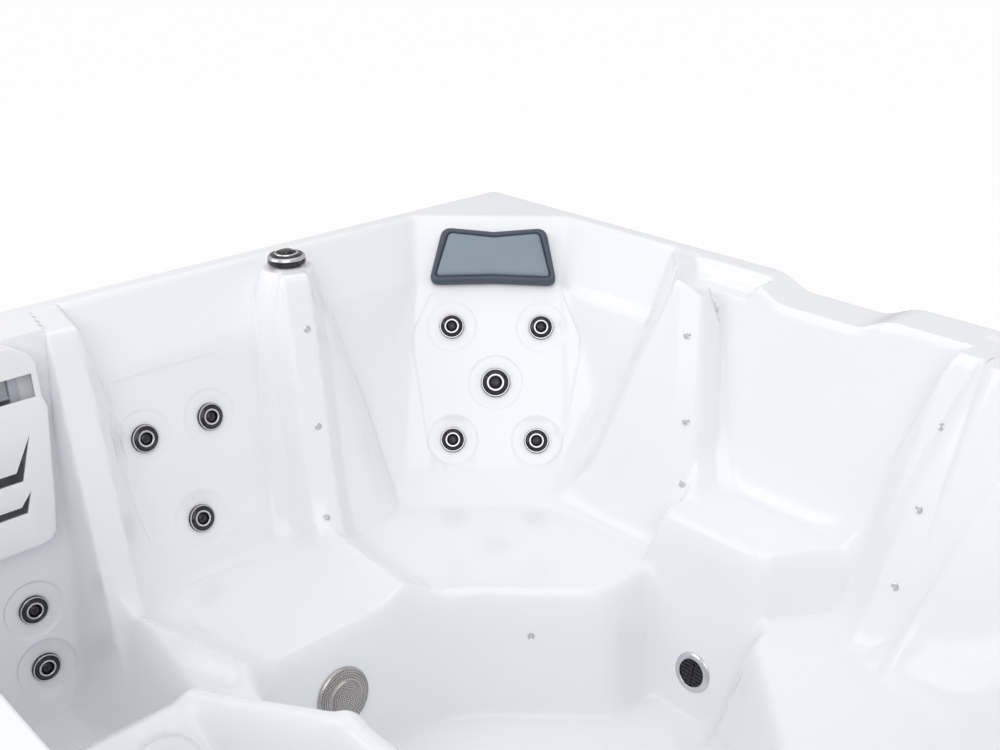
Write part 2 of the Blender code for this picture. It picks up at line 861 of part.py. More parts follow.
def shell_net():
    """Plan points, depths and triangles of the shell's upper face, finer where it bends."""
    spots = flat_spots()
    count = round(tub_side / probe_step) + 1
    probe = numpy.linspace(-half_side, half_side, count)
    probe_x, probe_y = numpy.meshgrid(probe, probe)
    probe_z = shell_depth(probe_x, probe_y, spots)
    fall_y, fall_x = numpy.gradient(probe_z, probe[1] - probe[0])
    steepness = numpy.sqrt(1 + fall_x ** 2 + fall_y ** 2)
    edge_count = round(tub_side / coarse_step)
    edge = numpy.linspace(-half_side, half_side, edge_count + 1)
    places = [(float(a), float(b)) for a in edge for b in edge]
    for run in (dip_half, dip_half + dip_run):
        places += [(half_side, run), (half_side, -run)]
    rims = []
    for spot in spots:
        sides = light_sides if spot.radius < jet_radius else jet_sides
        first = len(places)
        places += ring_points(spot, spot.radius, sides)
        rims += [(first + index, first + (index + 1) % sides) for index in range(sides)]
    seats = [[frame @ corner for corner in bow_tie_corners(-seat_margin)] for _, frame in pillow_frames()]
    wall = skimmer_frame()
    seats.append([wall @ Vector((x, 0, z)) for x, z in skimmer_outline(-seat_margin)])
    for seat in seats:
        first = len(places)
        places += [(corner.x, corner.y) for corner in seat]
        rims += [(first + index, first + (index + 1) % len(seat)) for index in range(len(seat))]
    for _ in range(refine_rounds):
        points, triangles = plan_mesh(places, rims)
        depths = shell_depth(points[:, 0], points[:, 1], spots)
        worst = triangle_errors(points, depths, triangles, probe, probe, probe_z, steepness)
        if not worst:
            break
        places += sharpest_near(worst)
    points, triangles = plan_mesh(places, rims)
    return points, shell_depth(points[:, 0], points[:, 1], spots), triangles, spots


def clear_scene():
    for item in list(bpy.data.objects):
        bpy.data.objects.remove(item)


def finish_of(name, colour, metallic, roughness):
    """A plain finish from a colour in linear values."""
    look = bpy.data.materials.new(name)
    look.use_nodes = True
    surface = look.node_tree.nodes["Principled BSDF"]
    surface.inputs["Base Color"].default_value = (colour[0], colour[1], colour[2], 1)
    surface.inputs["Metallic"].default_value = metallic
    surface.inputs["Roughness"].default_value = roughness
    return look


ACRYLIC = ("white acrylic", (0.83, 0.85, 0.90), 0.0, 0.12)
ABS_DARK = ("dark grey moulding", (0.09, 0.10, 0.12), 0.0, 0.45)
ABS_GREY = ("light grey moulding", (0.50, 0.53, 0.57), 0.0, 0.40)
ABS_BLACK = ("black moulding", (0.02, 0.02, 0.025), 0.0, 0.35)
PVC_WHITE = ("white pipe", (0.75, 0.76, 0.78), 0.0, 0.40)
STEEL = ("stainless steel", (0.60, 0.61, 0.63), 1.0, 0.28)
PILLOW_RIM = ("slate foam skin", (0.07, 0.085, 0.11), 0.0, 0.55)
PILLOW_FACE = ("blue grey foam skin", (0.25, 0.31, 0.36), 0.0, 0.55)
CABINET = ("grey cabinet board", (0.12, 0.12, 0.13), 0.0, 0.60)
FILTER = ("white pleated fabric", (0.78, 0.79, 0.80), 0.0, 0.85)
LENS = ("clear lens", (0.85, 0.90, 0.95), 0.0, 0.08)
PUMP_PAINT = ("black painted motor", (0.03, 0.03, 0.035), 0.2, 0.40)
BOARD = ("insulating board", (0.55, 0.50, 0.38), 0.0, 0.85)


def solid(name, form, finish, place=None):
    """A named piece from a shape, closed and facing out, placed by a matrix."""
    if isinstance(form, bmesh.types.BMesh):
        mesh = bpy.data.meshes.new(name)
        bmesh.ops.recalc_face_normals(form, faces=form.faces)
        form.to_mesh(mesh)
        form.free()
    else:
        mesh = form
        mesh.name = name
    mesh.shade_smooth()
    mesh.set_sharp_from_angle(angle=math.radians(sharp_angle))
    piece = bpy.data.objects.new(name, mesh)
    bpy.context.scene.collection.objects.link(piece)
    mesh.materials.clear()
    mesh.materials.append(finish_of(finish[0] + " " + name, *finish[1:]))
    if place is not None:
        piece.matrix_world = place
    return piece


def turned(profile, sides, closed=False):
    """Body of revolution about Z from (radius, height) pairs, bottom to top along its outer side."""
    form = bmesh.new()
    rows = []
    for radius, height in profile:
        if radius == 0:
            rows.append([form.verts.new((0, 0, height))])
            continue
        row = []
        for index in range(sides):
            turn = 2 * math.pi * index / sides
            row.append(form.verts.new((radius * math.cos(turn), radius * math.sin(turn), height)))
        rows.append(row)
    pairs = list(zip(rows, rows[1:]))
    if closed:
        pairs.append((rows[-1], rows[0]))
    for low, high in pairs:
        for index in range(sides):
            corners = []
            for row, place in ((low, index), (low, index + 1), (high, index + 1), (high, index)):
                corner = row[place % len(row)]
                if corner not in corners:
                    corners.append(corner)
            form.faces.new(corners)
    return form


def prism(outline, low, high):
    """Upright body over an outline in plan."""
    form = bmesh.new()
    bottom = [form.verts.new((x, y, low)) for x, y in outline]
    top = [form.verts.new((x, y, high)) for x, y in outline]
    form.faces.new(bottom[::-1])
    form.faces.new(top)
    for index in range(len(outline)):
        after = (index + 1) % len(outline)
        form.faces.new((bottom[index], bottom[after], top[after], top[index]))
    return form


def block(low, high):
    """Box between two opposite corners."""
    outline = ((low[0], low[1]), (high[0], low[1]), (high[0], high[1]), (low[0], high[1]))
    return prism(outline, low[2], high[2])


def rounded_path(points, bend):
    """A path with its corners eased over a run on both sides."""
    points = [Vector(point) for point in points]
    path = [points[0]]
    for before, point, after in zip(points, points[1:], points[2:]):
        run = min(bend, (before - point).length / 2, (after - point).length / 2)
        start = point + (before - point).normalized() * run
        end = point + (after - point).normalized() * run
        for index in range(bend_steps + 1):
            share = index / bend_steps
            first = start.lerp(point, share)
            path.append(first.lerp(point.lerp(end, share), share))
    path.append(points[-1])
    return path


def tube(points, radius, sides):
    """Round rod or pipe along a path, square at both ends."""
    form = bmesh.new()
    rings = []
    across = None
    for index, point in enumerate(points):
        before = point - points[index - 1] if index else points[1] - point
        after = points[index + 1] - point if index + 1 < len(points) else before
        way = (before.normalized() + after.normalized()).normalized()
        across = way.orthogonal() if across is None else across - way * across.dot(way)
        across.normalize()
        other = way.cross(across)
        ring = []
        for step in range(sides):
            turn = 2 * math.pi * step / sides
            ring.append(form.verts.new(point + radius * (math.cos(turn) * across + math.sin(turn) * other)))
        rings.append(ring)
    form.faces.new(rings[0][::-1])
    form.faces.new(rings[-1])
    for low, high in zip(rings, rings[1:]):
        for step in range(sides):
            after = (step + 1) % sides
            form.faces.new((low[step], low[after], high[after], high[step]))
    return form


def moved(form, matrix):
    bmesh.ops.transform(form, matrix=matrix, verts=form.verts)
    return form


def gathered(forms):
    """Several shapes in one, kept as separate bodies."""
    whole = bmesh.new()
    for form in forms:
        mesh = bpy.data.meshes.new("shape")
        bmesh.ops.recalc_face_normals(form, faces=form.faces)
        form.to_mesh(mesh)
        form.free()
        whole.from_mesh(mesh)
        bpy.data.meshes.remove(mesh)
    return whole


def scratch(form):
    mesh = bpy.data.meshes.new("shape")
    bmesh.ops.recalc_face_normals(form, faces=form.faces)
    form.to_mesh(mesh)
    form.free()
    item = bpy.data.objects.new("shape", mesh)
    bpy.context.scene.collection.objects.link(item)
    return item


def combined(form, others, operation):
    """The mesh left when other shapes are joined to a shape or cut from it."""
    base = scratch(form)
    tools = [scratch(other) for other in others]
    for tool in tools:
        step = base.modifiers.new("join", "BOOLEAN")
        step.operation = operation
        step.solver = "EXACT"
        step.object = tool
    graph = bpy.context.evaluated_depsgraph_get()
    mesh = bpy.data.meshes.new_from_object(base.evaluated_get(graph))
    for item in [base] + tools:
        bpy.data.objects.remove(item)
    return mesh


def form_of(mesh):
    """A shape again from a mesh, for a further step."""
    form = bmesh.new()
    form.from_mesh(mesh)
    return form


def shell_normals(x, y, spots):
    """Unit normals of the shell's upper face, steady over its flats."""
    step = probe_step / 2
    fall_x = (plain_depth(x + step, y) - plain_depth(x - step, y)) / (2 * step)
    fall_y = (plain_depth(x, y + step) - plain_depth(x, y - step)) / (2 * step)
    for spot in spots:
        share = numpy.clip((spot.radius + jet_flat_blend - spot.distance(x, y)) / jet_flat_blend, 0, 1)
        fall_x = fall_x * (1 - share) + spot.slope_x * share
        fall_y = fall_y * (1 - share) + spot.slope_y * share
    steep = numpy.sqrt(1 + fall_x ** 2 + fall_y ** 2)
    return numpy.stack((fall_x / steep, fall_y / steep, 1 / steep), axis=1)


def shell_body():
    """The moulded sheet: upper face, underside and hanging skirt, without its holes."""
    points, depths, triangles, spots = shell_net()
    normals = shell_normals(points[:, 0], points[:, 1], spots)
    form = bmesh.new()
    top = []
    under = []
    reach = half_side - sheet
    for (x, y), depth, normal in zip(points, depths, normals):
        top.append(form.verts.new((x, y, rim_height - depth)))
        inner_x = min(max(x - sheet * normal[0], -reach), reach)
        inner_y = min(max(y - sheet * normal[1], -reach), reach)
        under.append(form.verts.new((inner_x, inner_y, rim_height - depth - sheet * normal[2])))
    edges = set()
    for first, second, third in triangles:
        form.faces.new((top[first], top[second], top[third]))
        form.faces.new((under[third], under[second], under[first]))
        edges.update(((first, second), (second, third), (third, first)))
    skirt = {}
    bottom = rim_height - skirt_drop
    for start, end in sorted(edges):
        if (end, start) in edges:
            continue
        for place in (start, end):
            if place not in skirt:
                outer = form.verts.new((top[place].co.x, top[place].co.y, bottom))
                inner = form.verts.new((under[place].co.x, under[place].co.y, bottom))
                skirt[place] = (outer, inner)
        form.faces.new((top[end], top[start], skirt[start][0], skirt[end][0]))
        form.faces.new((skirt[end][0], skirt[start][0], skirt[start][1], skirt[end][1]))
        form.faces.new((skirt[end][1], skirt[start][1], under[start], under[end]))
    return form


def round_hole(spot, radius, sides):
    """Cutter for a round hole square to a flat."""
    run = sheet + cut_overrun
    return moved(turned(((0, -run), (radius, -run), (radius, cut_overrun), (0, cut_overrun)), sides),
                 spot.frame())


def jet_spots():
    return [(group, Spot(place[0], place[1], radius + jet_flat_margin, jet_recess), radius)
            for group, place, radius in jet_table()]


def light_spots():
    return [(group, Spot(place[0], place[1], radius + jet_flat_blend / 2, 0))
            for group, place, radius in light_table()]


def make_shell():
    fittings = fitting_table()
    cutters = [round_hole(spot, jet_barrel_radius + hole_clearance, jet_sides) for _, spot, _ in jet_spots()]
    cutters += [round_hole(spot, light_barrel_radius + hole_clearance, light_sides) for _, spot in light_spots()]
    for name in ("suction", "drain"):
        cutters.append(round_hole(fittings[name], fitting_barrel_radius + hole_clearance, pump_sides))
    cutters.append(round_hole(fittings["footwell_light"], light_barrel_radius + hole_clearance, light_sides))
    cutters.append(round_hole(fittings["knob"], valve_neck_radius + hole_clearance, jet_sides))
    side = bucket_half + hole_clearance
    opening = block((-side, -cut_overrun, -bucket_bottom - hole_clearance),
                    (side, sheet + cut_overrun, -bucket_top + hole_clearance))
    cutters.append(moved(opening, skimmer_frame()))
    mesh = combined(shell_body(), [gathered(cutters)], "DIFFERENCE")
    return solid("acrylic_shell", mesh, ACRYLIC)


def jet_body(radius, sides, with_bore):
    """One jet in its own frame: trim ring, threaded barrel and the cup behind the shell."""
    behind = -sheet - seam_gap
    profile = [
        (0, behind - jet_cup_length), (jet_cup_radius, behind - jet_cup_length), (jet_cup_radius, behind),
        (jet_barrel_radius, behind), (jet_barrel_radius, seam_gap), (radius, seam_gap),
        (radius, jet_rim_height), (radius - jet_rim_width, jet_rim_height),
        (radius - jet_rim_width, jet_seat_height)]
    if with_bore:
        profile += [(jet_bore_radius, jet_seat_height), (jet_bore_radius, -jet_bore_depth),
                    (0, -jet_bore_depth)]
    else:
        inner = face_inner_share * radius
        profile += [(inner, jet_rim_height), (0, jet_rim_height * face_dish_share)]
    return turned(profile, sides)


def cup_end(spot, length):
    """Point behind the shell on a jet's axis."""
    return spot.point - spot.normal * (sheet + seam_gap + length)


def jet_face(radius):
    """Turning nozzle face that sits in a jet's trim ring, with a stub down its bore."""
    rim = (radius - jet_rim_width) * math.cos(math.pi / jet_sides) - hole_clearance / 2
    stub = jet_bore_radius - hole_clearance
    nozzle = radius * nozzle_share
    top = jet_rim_height + jet_face_rise
    return turned((
        (0, -jet_bore_depth + seam_gap), (stub, -jet_bore_depth + seam_gap), (stub, jet_seat_height + seam_gap),
        (rim, jet_seat_height + seam_gap), (rim, jet_rim_height), (rim * face_inner_share, top),
        (nozzle, top * face_dish_share), (0, top * face_inner_share)), jet_sides)


def make_jets():
    """Each seat's jets, joined behind the shell by their water pipe, and the turning faces."""
    groups = {}
    for group, spot, radius in jet_spots():
        groups.setdefault(group, []).append((spot, radius))
    shown = ("corner", "side", "foot", "calf")
    for group, jets in groups.items():
        with_bore = group in shown
        bodies = [moved(jet_body(radius, jet_sides, with_bore), spot.frame()) for spot, radius in jets]
        middle = jet_cup_length - manifold_radius - seam_gap
        path = [cup_end(spot, middle) for spot, _ in jets]
        if group == "corner":
            low = jets[-2][0]
            tee = [cup_end(low, jet_cup_length / 2), cup_end(low, jet_cup_length + tee_length)]
            bodies.append(tube(tee, pipe_radius, pipe_sides))
        if len(path) > 1:
            bodies.append(tube(path, manifold_radius, light_sides))
        mesh = combined(bodies[0], bodies[1:], "UNION")
        solid(group + "_jet_bodies", mesh, ABS_GREY if with_bore else ABS_DARK)
        if with_bore:
            for index, (spot, radius) in enumerate(jets):
                name = "%s_jet_face_%d" % (group, index + 1) if len(jets) > 1 else group + "_jet_face"
                solid(name, jet_face(radius), ABS_BLACK, spot.frame())


def make_lights():
    groups = {}
    for group, spot in light_spots():
        groups.setdefault(group, []).append(spot)
    for group, spots in groups.items():
        bodies = []
        for spot in spots:
            bodies.append(moved(light_body(light_radius, light_rise), spot.frame()))
        path = [spot.point - spot.normal * (light_barrel_length * cable_share) for spot in spots]
        bodies.append(tube(path, light_cable_radius, light_sides))
        solid(group + "_light_string", combined(bodies[0], bodies[1:], "UNION"), LENS)
    spot = fitting_table()["footwell_light"]
    solid("footwell_light", light_body(light_radius, light_rise), LENS, spot.frame())


def light_body(radius, rise):
    """Domed lens with its barrel through the shell."""
    return turned((
        (0, -light_barrel_length), (light_barrel_radius, -light_barrel_length), (light_barrel_radius, seam_gap),
        (radius, seam_gap), (radius, rise * face_dish_share), (radius * face_inner_share, rise), (0, rise)),
        light_sides)


def make_footwell_fittings():
    fittings = fitting_table()
    behind = -sheet - seam_gap
    barrel = [(0, -fitting_barrel_length), (fitting_barrel_radius, -fitting_barrel_length),
              (fitting_barrel_radius, seam_gap)]
    dome = [(cover_radius, seam_gap), (cover_radius, cover_band * slot_share)]
    dome += [(cover_radius * wide, cover_rise * high) for wide, high in dome_shares]
    solid("suction_cover", turned(barrel + dome + [(0, cover_rise)], pump_sides), STEEL,
          fittings["suction"].frame())
    inner = drain_radius * face_inner_share
    ring = [(drain_radius, seam_gap), (drain_radius, drain_rise * face_inner_share),
            (drain_radius * grip_share, drain_rise), (inner, drain_rise),
            (inner, drain_rise * face_dish_share), (0, drain_rise * face_dish_share)]
    slots = []
    wide = inner * drain_bar_share
    for turn in (-1, 1):
        for row in (1, 2):
            low = turn * wide * (2 * row - 1)
            high = turn * wide * 2 * row
            run = inner * slot_share
            slots.append(block((-run, min(low, high), behind), (run, max(low, high), cut_overrun)))
    mesh = combined(turned(barrel + ring, pump_sides), [gathered(slots)], "DIFFERENCE")
    solid("drain_fitting", mesh, ABS_DARK, fittings["drain"].frame())


def make_diverter():
    spot = fitting_table()["knob"]
    behind = -sheet - seam_gap
    valve = turned((
        (0, behind - valve_length), (valve_radius, behind - valve_length), (valve_radius, behind),
        (valve_neck_radius, behind), (valve_neck_radius, seam_gap), (valve_flange_radius, seam_gap),
        (valve_flange_radius, valve_flange_height), (spindle_radius, valve_flange_height),
        (spindle_radius, valve_flange_height + spindle_height),
        (0, valve_flange_height + spindle_height)), jet_sides)
    solid("diverter_valve", valve, ABS_DARK, spot.frame())
    low = valve_flange_height + seam_gap
    socket = low + spindle_height + seam_gap
    top = low + knob_height
    knob = turned((
        (0, socket), (knob_socket_radius, socket), (knob_socket_radius, low), (knob_radius * grip_share, low),
        (knob_radius, low + knob_height * nozzle_share), (knob_radius * grip_share, top),
        (knob_grip_radius, top), (knob_grip_radius * grip_share, top + knob_grip_height),
        (0, top + knob_grip_height)), knob_sides)
    solid("diverter_knob", knob, ABS_BLACK, spot.frame())


def lofted(rings):
    """Closed body through outlines of one count, each at its own height."""
    form = bmesh.new()
    rows = [[form.verts.new((x, y, height)) for x, y in outline] for outline, height in rings]
    form.faces.new(rows[0][::-1])
    form.faces.new(rows[-1])
    for low, high in zip(rows, rows[1:]):
        for index in range(len(low)):
            after = (index + 1) % len(low)
            form.faces.new((low[index], low[after], high[after], high[index]))
    return form


def make_pillows():
    high = pillow_thick
    for name, place in pillow_frames():
        floor = high - pillow_pad_depth
        rings = (
            (bow_tie(pillow_side_draw), seam_gap), (bow_tie(0), high * face_dish_share),
            (bow_tie(pillow_side_draw), high - pillow_edge_round / 2), (bow_tie(pillow_edge_round), high),
            (bow_tie(pillow_frame_width), high - pillow_edge_round / 2), (bow_tie(pillow_frame_width), floor))
        solid(name + "_pillow_frame", lofted(rings), PILLOW_RIM, place)
        edge = pillow_frame_width + seam_gap
        rings = (
            (bow_tie(edge), floor + seam_gap), (bow_tie(edge), high - pillow_edge_round / 2),
            (bow_tie(edge + pillow_pad_edge / 2), high + pillow_crown / 2),
            (bow_tie(edge + pillow_pad_edge), high + pillow_crown))
        solid(name + "_pillow_pad", lofted(rings), PILLOW_FACE, place)


def wall_prism(outline, front, back):
    """Body over an outline in the wall's frame, between two distances behind the wall's face."""
    turn = Matrix(((1, 0, 0, 0), (0, 0, -1, 0), (0, 1, 0, 0), (0, 0, 0, 1)))
    return moved(prism(outline, -back, -front), turn)


def make_skimmer():
    place = skimmer_frame()
    front = -skimmer_proud
    sill = skimmer_hood + skimmer_mouth
    cover = wall_prism(skimmer_outline(0), front, -seam_gap)
    hollow = wall_prism(skimmer_outline(skimmer_skin), front + skimmer_skin, cut_overrun)
    mouth_half = skimmer_half - skimmer_corner
    mouth = block((-mouth_half, front - cut_overrun, -sill), (mouth_half, 0, -skimmer_hood))
    cuts = [hollow, mouth]
    for tip, half, drop, rise, height in (
            (upper_louvre_tip, upper_louvre_half, upper_louvre_drop, upper_louvre_rise, upper_louvre_height),
            (lower_louvre_tip, lower_louvre_half, lower_louvre_drop, lower_louvre_rise, lower_louvre_height)):
        high = -sill - drop
        low = high - rise
        inner = half - louvre_turn
        outline = ((-half, low), (half, low), (tip, high), (inner, low + height), (-inner, low + height),
                   (-tip, high))
        cuts.append(wall_prism(outline, front - cut_overrun, front + skimmer_skin + cut_overrun / 2))
    solid("skimmer_front", combined(cover, cuts, "DIFFERENCE"), ACRYLIC, place)

    wall = bucket_wall
    bucket = block((-bucket_half, -bucket_wall, -bucket_bottom), (bucket_half, bucket_back, -bucket_top))
    side = bucket_half + bucket_flange
    flange = block((-side, -bucket_wall, -bucket_bottom - bucket_flange),
                   (side, -seam_gap, -bucket_top + bucket_lip))
    room = block((-bucket_half + wall, -cut_overrun, -bucket_bottom + wall),
                 (bucket_half - wall, bucket_back - wall, -bucket_top - wall))
    mesh = combined(bucket, [flange], "UNION")
    solid("skimmer_bucket", combined(form_of(mesh), [room], "DIFFERENCE"), ABS_DARK, place)

    pin = bucket_half - wall - seam_gap
    flap_half = pin - hole_clearance
    rod = moved(turned(((0, -pin), (weir_pin_radius, -pin), (weir_pin_radius, pin), (0, pin)), light_sides),
                Matrix.Rotation(math.pi / 2, 4, "Y"))
    flap = block((-flap_half, -weir_thick / 2, 0), (flap_half, weir_thick / 2, weir_height))
    door = combined(rod, [flap], "UNION")
    hinge = place @ Matrix.Translation((0, weir_pin_radius + hole_clearance, -sill))
    solid("weir_door", door, ABS_DARK, hinge)

    high = cartridge_length - cartridge_cap
    cartridge = turned((
        (0, 0), (cartridge_cap_radius, 0), (cartridge_cap_radius, cartridge_cap),
        (cartridge_radius, cartridge_cap), (cartridge_radius, high), (cartridge_cap_radius, high),
        (cartridge_cap_radius, cartridge_length), (0, cartridge_length)), 2 * cartridge_pleats)
    pleats = [corner for corner in cartridge.verts
              if 0 < corner.co.xy.length < (cartridge_radius + cartridge_cap_radius) / 2]
    for corner in pleats[::2]:
        corner.co.xy *= pleat_share
    middle = (bucket_back - wall) / 2
    stand = Matrix.Translation((0, middle, -bucket_bottom + wall + seam_gap))
    solid("filter_cartridge", cartridge, FILTER, place @ stand)


def make_cabinet():
    outer = half_side - sheet - seam_gap
    low = pan_height + seam_gap
    top = rim_height - skirt_drop + panel_top_tuck
    inner = outer - panel_thick
    run = outer - corner_cover_leg - seam_gap
    for turn, name in enumerate(("front_panel", "right_panel", "rear_panel", "left_panel")):
        spin = Matrix.Rotation(math.pi / 2 * turn, 4, "Z")
        solid(name, moved(block((-run, -outer, low), (run, -inner, top)), spin), CABINET)
    leg = outer - corner_cover_leg
    outline = ((outer, -outer), (outer, -leg), (inner, -leg), (inner, -inner), (leg, -inner), (leg, -outer))
    for turn, name in enumerate(("front_right_cover", "rear_right_cover", "rear_left_cover", "front_left_cover")):
        spin = Matrix.Rotation(math.pi / 2 * turn, 4, "Z")
        solid(name, moved(prism(outline, low, top), spin), ABS_DARK)

    tray = block((-outer, -outer, 0), (outer, outer, pan_height))
    hold = outer - pan_wall
    well = block((-hold, -hold, pan_floor), (hold, hold, pan_height + cut_overrun))
    solid("base_pan", combined(tray, [well], "DIFFERENCE"), ABS_BLACK)

    reach = hold - seam_gap
    low = pan_floor + seam_gap
    posts = []
    for side_x in (-1, 1):
        for side_y in (-1, 1):
            xs = sorted((side_x * reach, side_x * (reach - post_side)))
            ys = sorted((side_y * reach, side_y * (reach - post_side)))
            posts.append(block((xs[0], ys[0], low), (xs[1], ys[1], rim_height - sheet - seam_gap)))
    rails = []
    span = reach - post_side / 2
    for turn in range(4):
        spin = Matrix.Rotation(math.pi / 2 * turn, 4, "Z")
        for start in (low, middle_rail_height):
            rail = block((-span, -reach, start), (span, -reach + rail_depth, start + rail_height))
            rails.append(moved(rail, spin))
    mesh = combined(posts[0], posts[1:] + rails, "UNION")
    solid("support_frame", mesh, STEEL)

    centre = footwell_east / 2 - board_half
    board = block((centre - board_half, -board_half, low),
                  (centre + board_half, board_half, rim_height - floor_depth - sheet - seam_gap))
    solid("footwell_support", board, BOARD)


def lying(form, x, y, z):
    """Lays a body of revolution along Y with its bottom end at a place."""
    return moved(form, Matrix.Translation((x, y, z)) @ Matrix.Rotation(-math.pi / 2, 4, "X"))


def drum(radius, length, sides):
    return turned(((0, 0), (radius, 0), (radius, length), (0, length)), sides)


def make_equipment():
    low = pan_floor + seam_gap
    pump_x = half_side - pump_from_side
    axis = low + pump_foot + pump_radius
    motor = lying(drum(pump_radius, pump_length, pump_sides), pump_x, pump_south, axis)
    foot = block((pump_x - pump_foot_half, pump_south + pump_foot, low),
                 (pump_x + pump_foot_half, pump_south + pump_length - pump_foot, axis))
    solid("pump_motor", combined(motor, [foot], "UNION"), PUMP_PAINT)
    wet_south = pump_south - seam_gap - wet_end_length
    volute = lying(drum(wet_end_radius, wet_end_length, pump_sides), pump_x, wet_south, axis)
    intake = lying(drum(port_radius, port_length + wet_end_length / 2, jet_sides), pump_x,
                   wet_south - port_length, axis)
    outlet = moved(drum(port_radius, wet_end_radius + port_length, jet_sides),
                   Matrix.Translation((pump_x, wet_south + wet_end_length / 2, axis)))
    solid("pump_wet_end", combined(volute, [intake, outlet], "UNION"), ABS_BLACK)

    circulation_y = half_side - circulation_from_side
    round_pump = moved(drum(circulation_radius, circulation_length, pump_sides),
                       Matrix.Translation((-circulation_length / 2, circulation_y, low + circulation_radius
                                           + pump_foot)) @ Matrix.Rotation(math.pi / 2, 4, "Y"))
    half = circulation_radius / 2
    foot = block((-circulation_length / 4, circulation_y - half, low),
                 (circulation_length / 4, circulation_y + half, low + circulation_radius))
    solid("circulation_pump", combined(round_pump, [foot], "UNION"), PUMP_PAINT)

    box_x = half_side - box_from_side
    solid("control_box", block((box_x - box_depth / 2, box_y - box_length / 2, low),
                               (box_x + box_depth / 2, box_y + box_length / 2, low + box_height)), ABS_GREY)
    heater_x = box_x - box_depth / 2 - heater_gap - heater_end_radius
    height = low + heater_foot + heater_end_radius
    start = box_y - heater_length / 2
    far = heater_length - heater_end_length
    pipe = turned((
        (0, 0), (heater_end_radius, 0), (heater_end_radius, heater_end_length),
        (heater_radius, heater_end_length), (heater_radius, far), (heater_end_radius, far),
        (heater_end_radius, heater_length), (0, heater_length)), pump_sides)
    feet = []
    for place in (start + heater_end_length / 4, start + far + heater_end_length / 4):
        feet.append(block((heater_x - heater_radius / 2, place, low),
                          (heater_x + heater_radius / 2, place + heater_end_length / 2, height)))
    solid("heater_tube", combined(lying(pipe, heater_x, start, height), feet, "UNION"), STEEL)
    blower = turned(((0, low), (blower_foot_radius, low), (blower_foot_radius, low + pump_foot),
                     (blower_radius, low + pump_foot), (blower_radius, low + blower_height),
                     (0, low + blower_height)), pump_sides)
    solid("air_blower", moved(blower, Matrix.Translation((0, blower_from_side - half_side, 0))), ABS_DARK)

    suction = fitting_table()["suction"]
    start = suction.point - suction.normal * (fitting_barrel_length + seam_gap)
    turn_out = start - suction.normal * pipe_bend
    end = Vector((pump_x, wet_south - port_length - seam_gap, axis))
    lane_z = (turn_out.z + axis) / 2
    route = (start, turn_out, (suction.x + pipe_bend, suction_lane_y, lane_z),
             (suction_turn_x, suction_lane_y, lane_z), (pump_x - pipe_bend, suction_turn_y, axis),
             (pump_x, suction_turn_y, axis), end)
    solid("suction_pipe", tube(rounded_path(route, pipe_bend / 2), pipe_radius, pipe_sides), PVC_WHITE)
    low_jet = [spot for group, spot, _ in jet_spots() if group == "corner"][-2]
    end = cup_end(low_jet, jet_cup_length + tee_length + seam_gap)
    rise = Vector((pump_x, wet_south + wet_end_length / 2, axis + wet_end_radius + port_length + seam_gap))
    route = (rise, rise + Vector((0, 0, supply_rise)), end - low_jet.normal * supply_run, end)
    solid("supply_pipe", tube(rounded_path(route, pipe_bend), pipe_radius, pipe_sides), PVC_WHITE)


def make_control_panel():
    half_x = control_width / 2
    half_y = control_length / 2
    low = [(-half_x, -half_y), (half_x, -half_y), (half_x, half_y), (-half_x, half_y)]
    top = [(x * (1 - control_edge / half_x), y * (1 - control_edge / half_y)) for x, y in low]
    body = lofted(((low, seam_gap), (low, control_height - control_edge), (top, control_height)))
    pockets = []
    for side in (-1, 1):
        start = control_height - button_travel - button_rise
        hole = turned(((0, start), (button_radius, start), (button_radius, control_height + cut_overrun),
                       (0, control_height + cut_overrun)), jet_sides)
        pockets.append(moved(hole, Matrix.Translation((0, side * button_space, 0))))
    place = Matrix.Translation((control_from_side - half_side, control_y, rim_height))
    solid("control_panel", combined(body, pockets, "DIFFERENCE"), ABS_BLACK, place)
    radius = button_radius - button_clearance
    for side, name in ((-1, "jets_button"), (1, "light_button")):
        low = -button_rise + seam_gap
        button = turned(((0, low), (radius, low), (radius, button_rise * face_dish_share),
                         (radius * grip_share, button_rise), (0, button_rise)), jet_sides)
        solid(name, button, ABS_GREY, place @ Matrix.Translation((0, side * button_space, control_height)))


def main():
    clear_scene()
    make_shell()
    make_jets()
    make_lights()
    make_footwell_fittings()
    make_diverter()
    make_pillows()
    make_skimmer()
    make_cabinet()
    make_equipment()
    make_control_panel()


if __name__ == "__main__":
    main()
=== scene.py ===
"""Looks of a square acrylic hot tub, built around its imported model."""
import json
import math

import bpy
import numpy
from bpy.props import FloatProperty, FloatVectorProperty, IntProperty, PointerProperty
from mathutils import Matrix, Vector
from mathutils.geometry import delaunay_2d_cdt

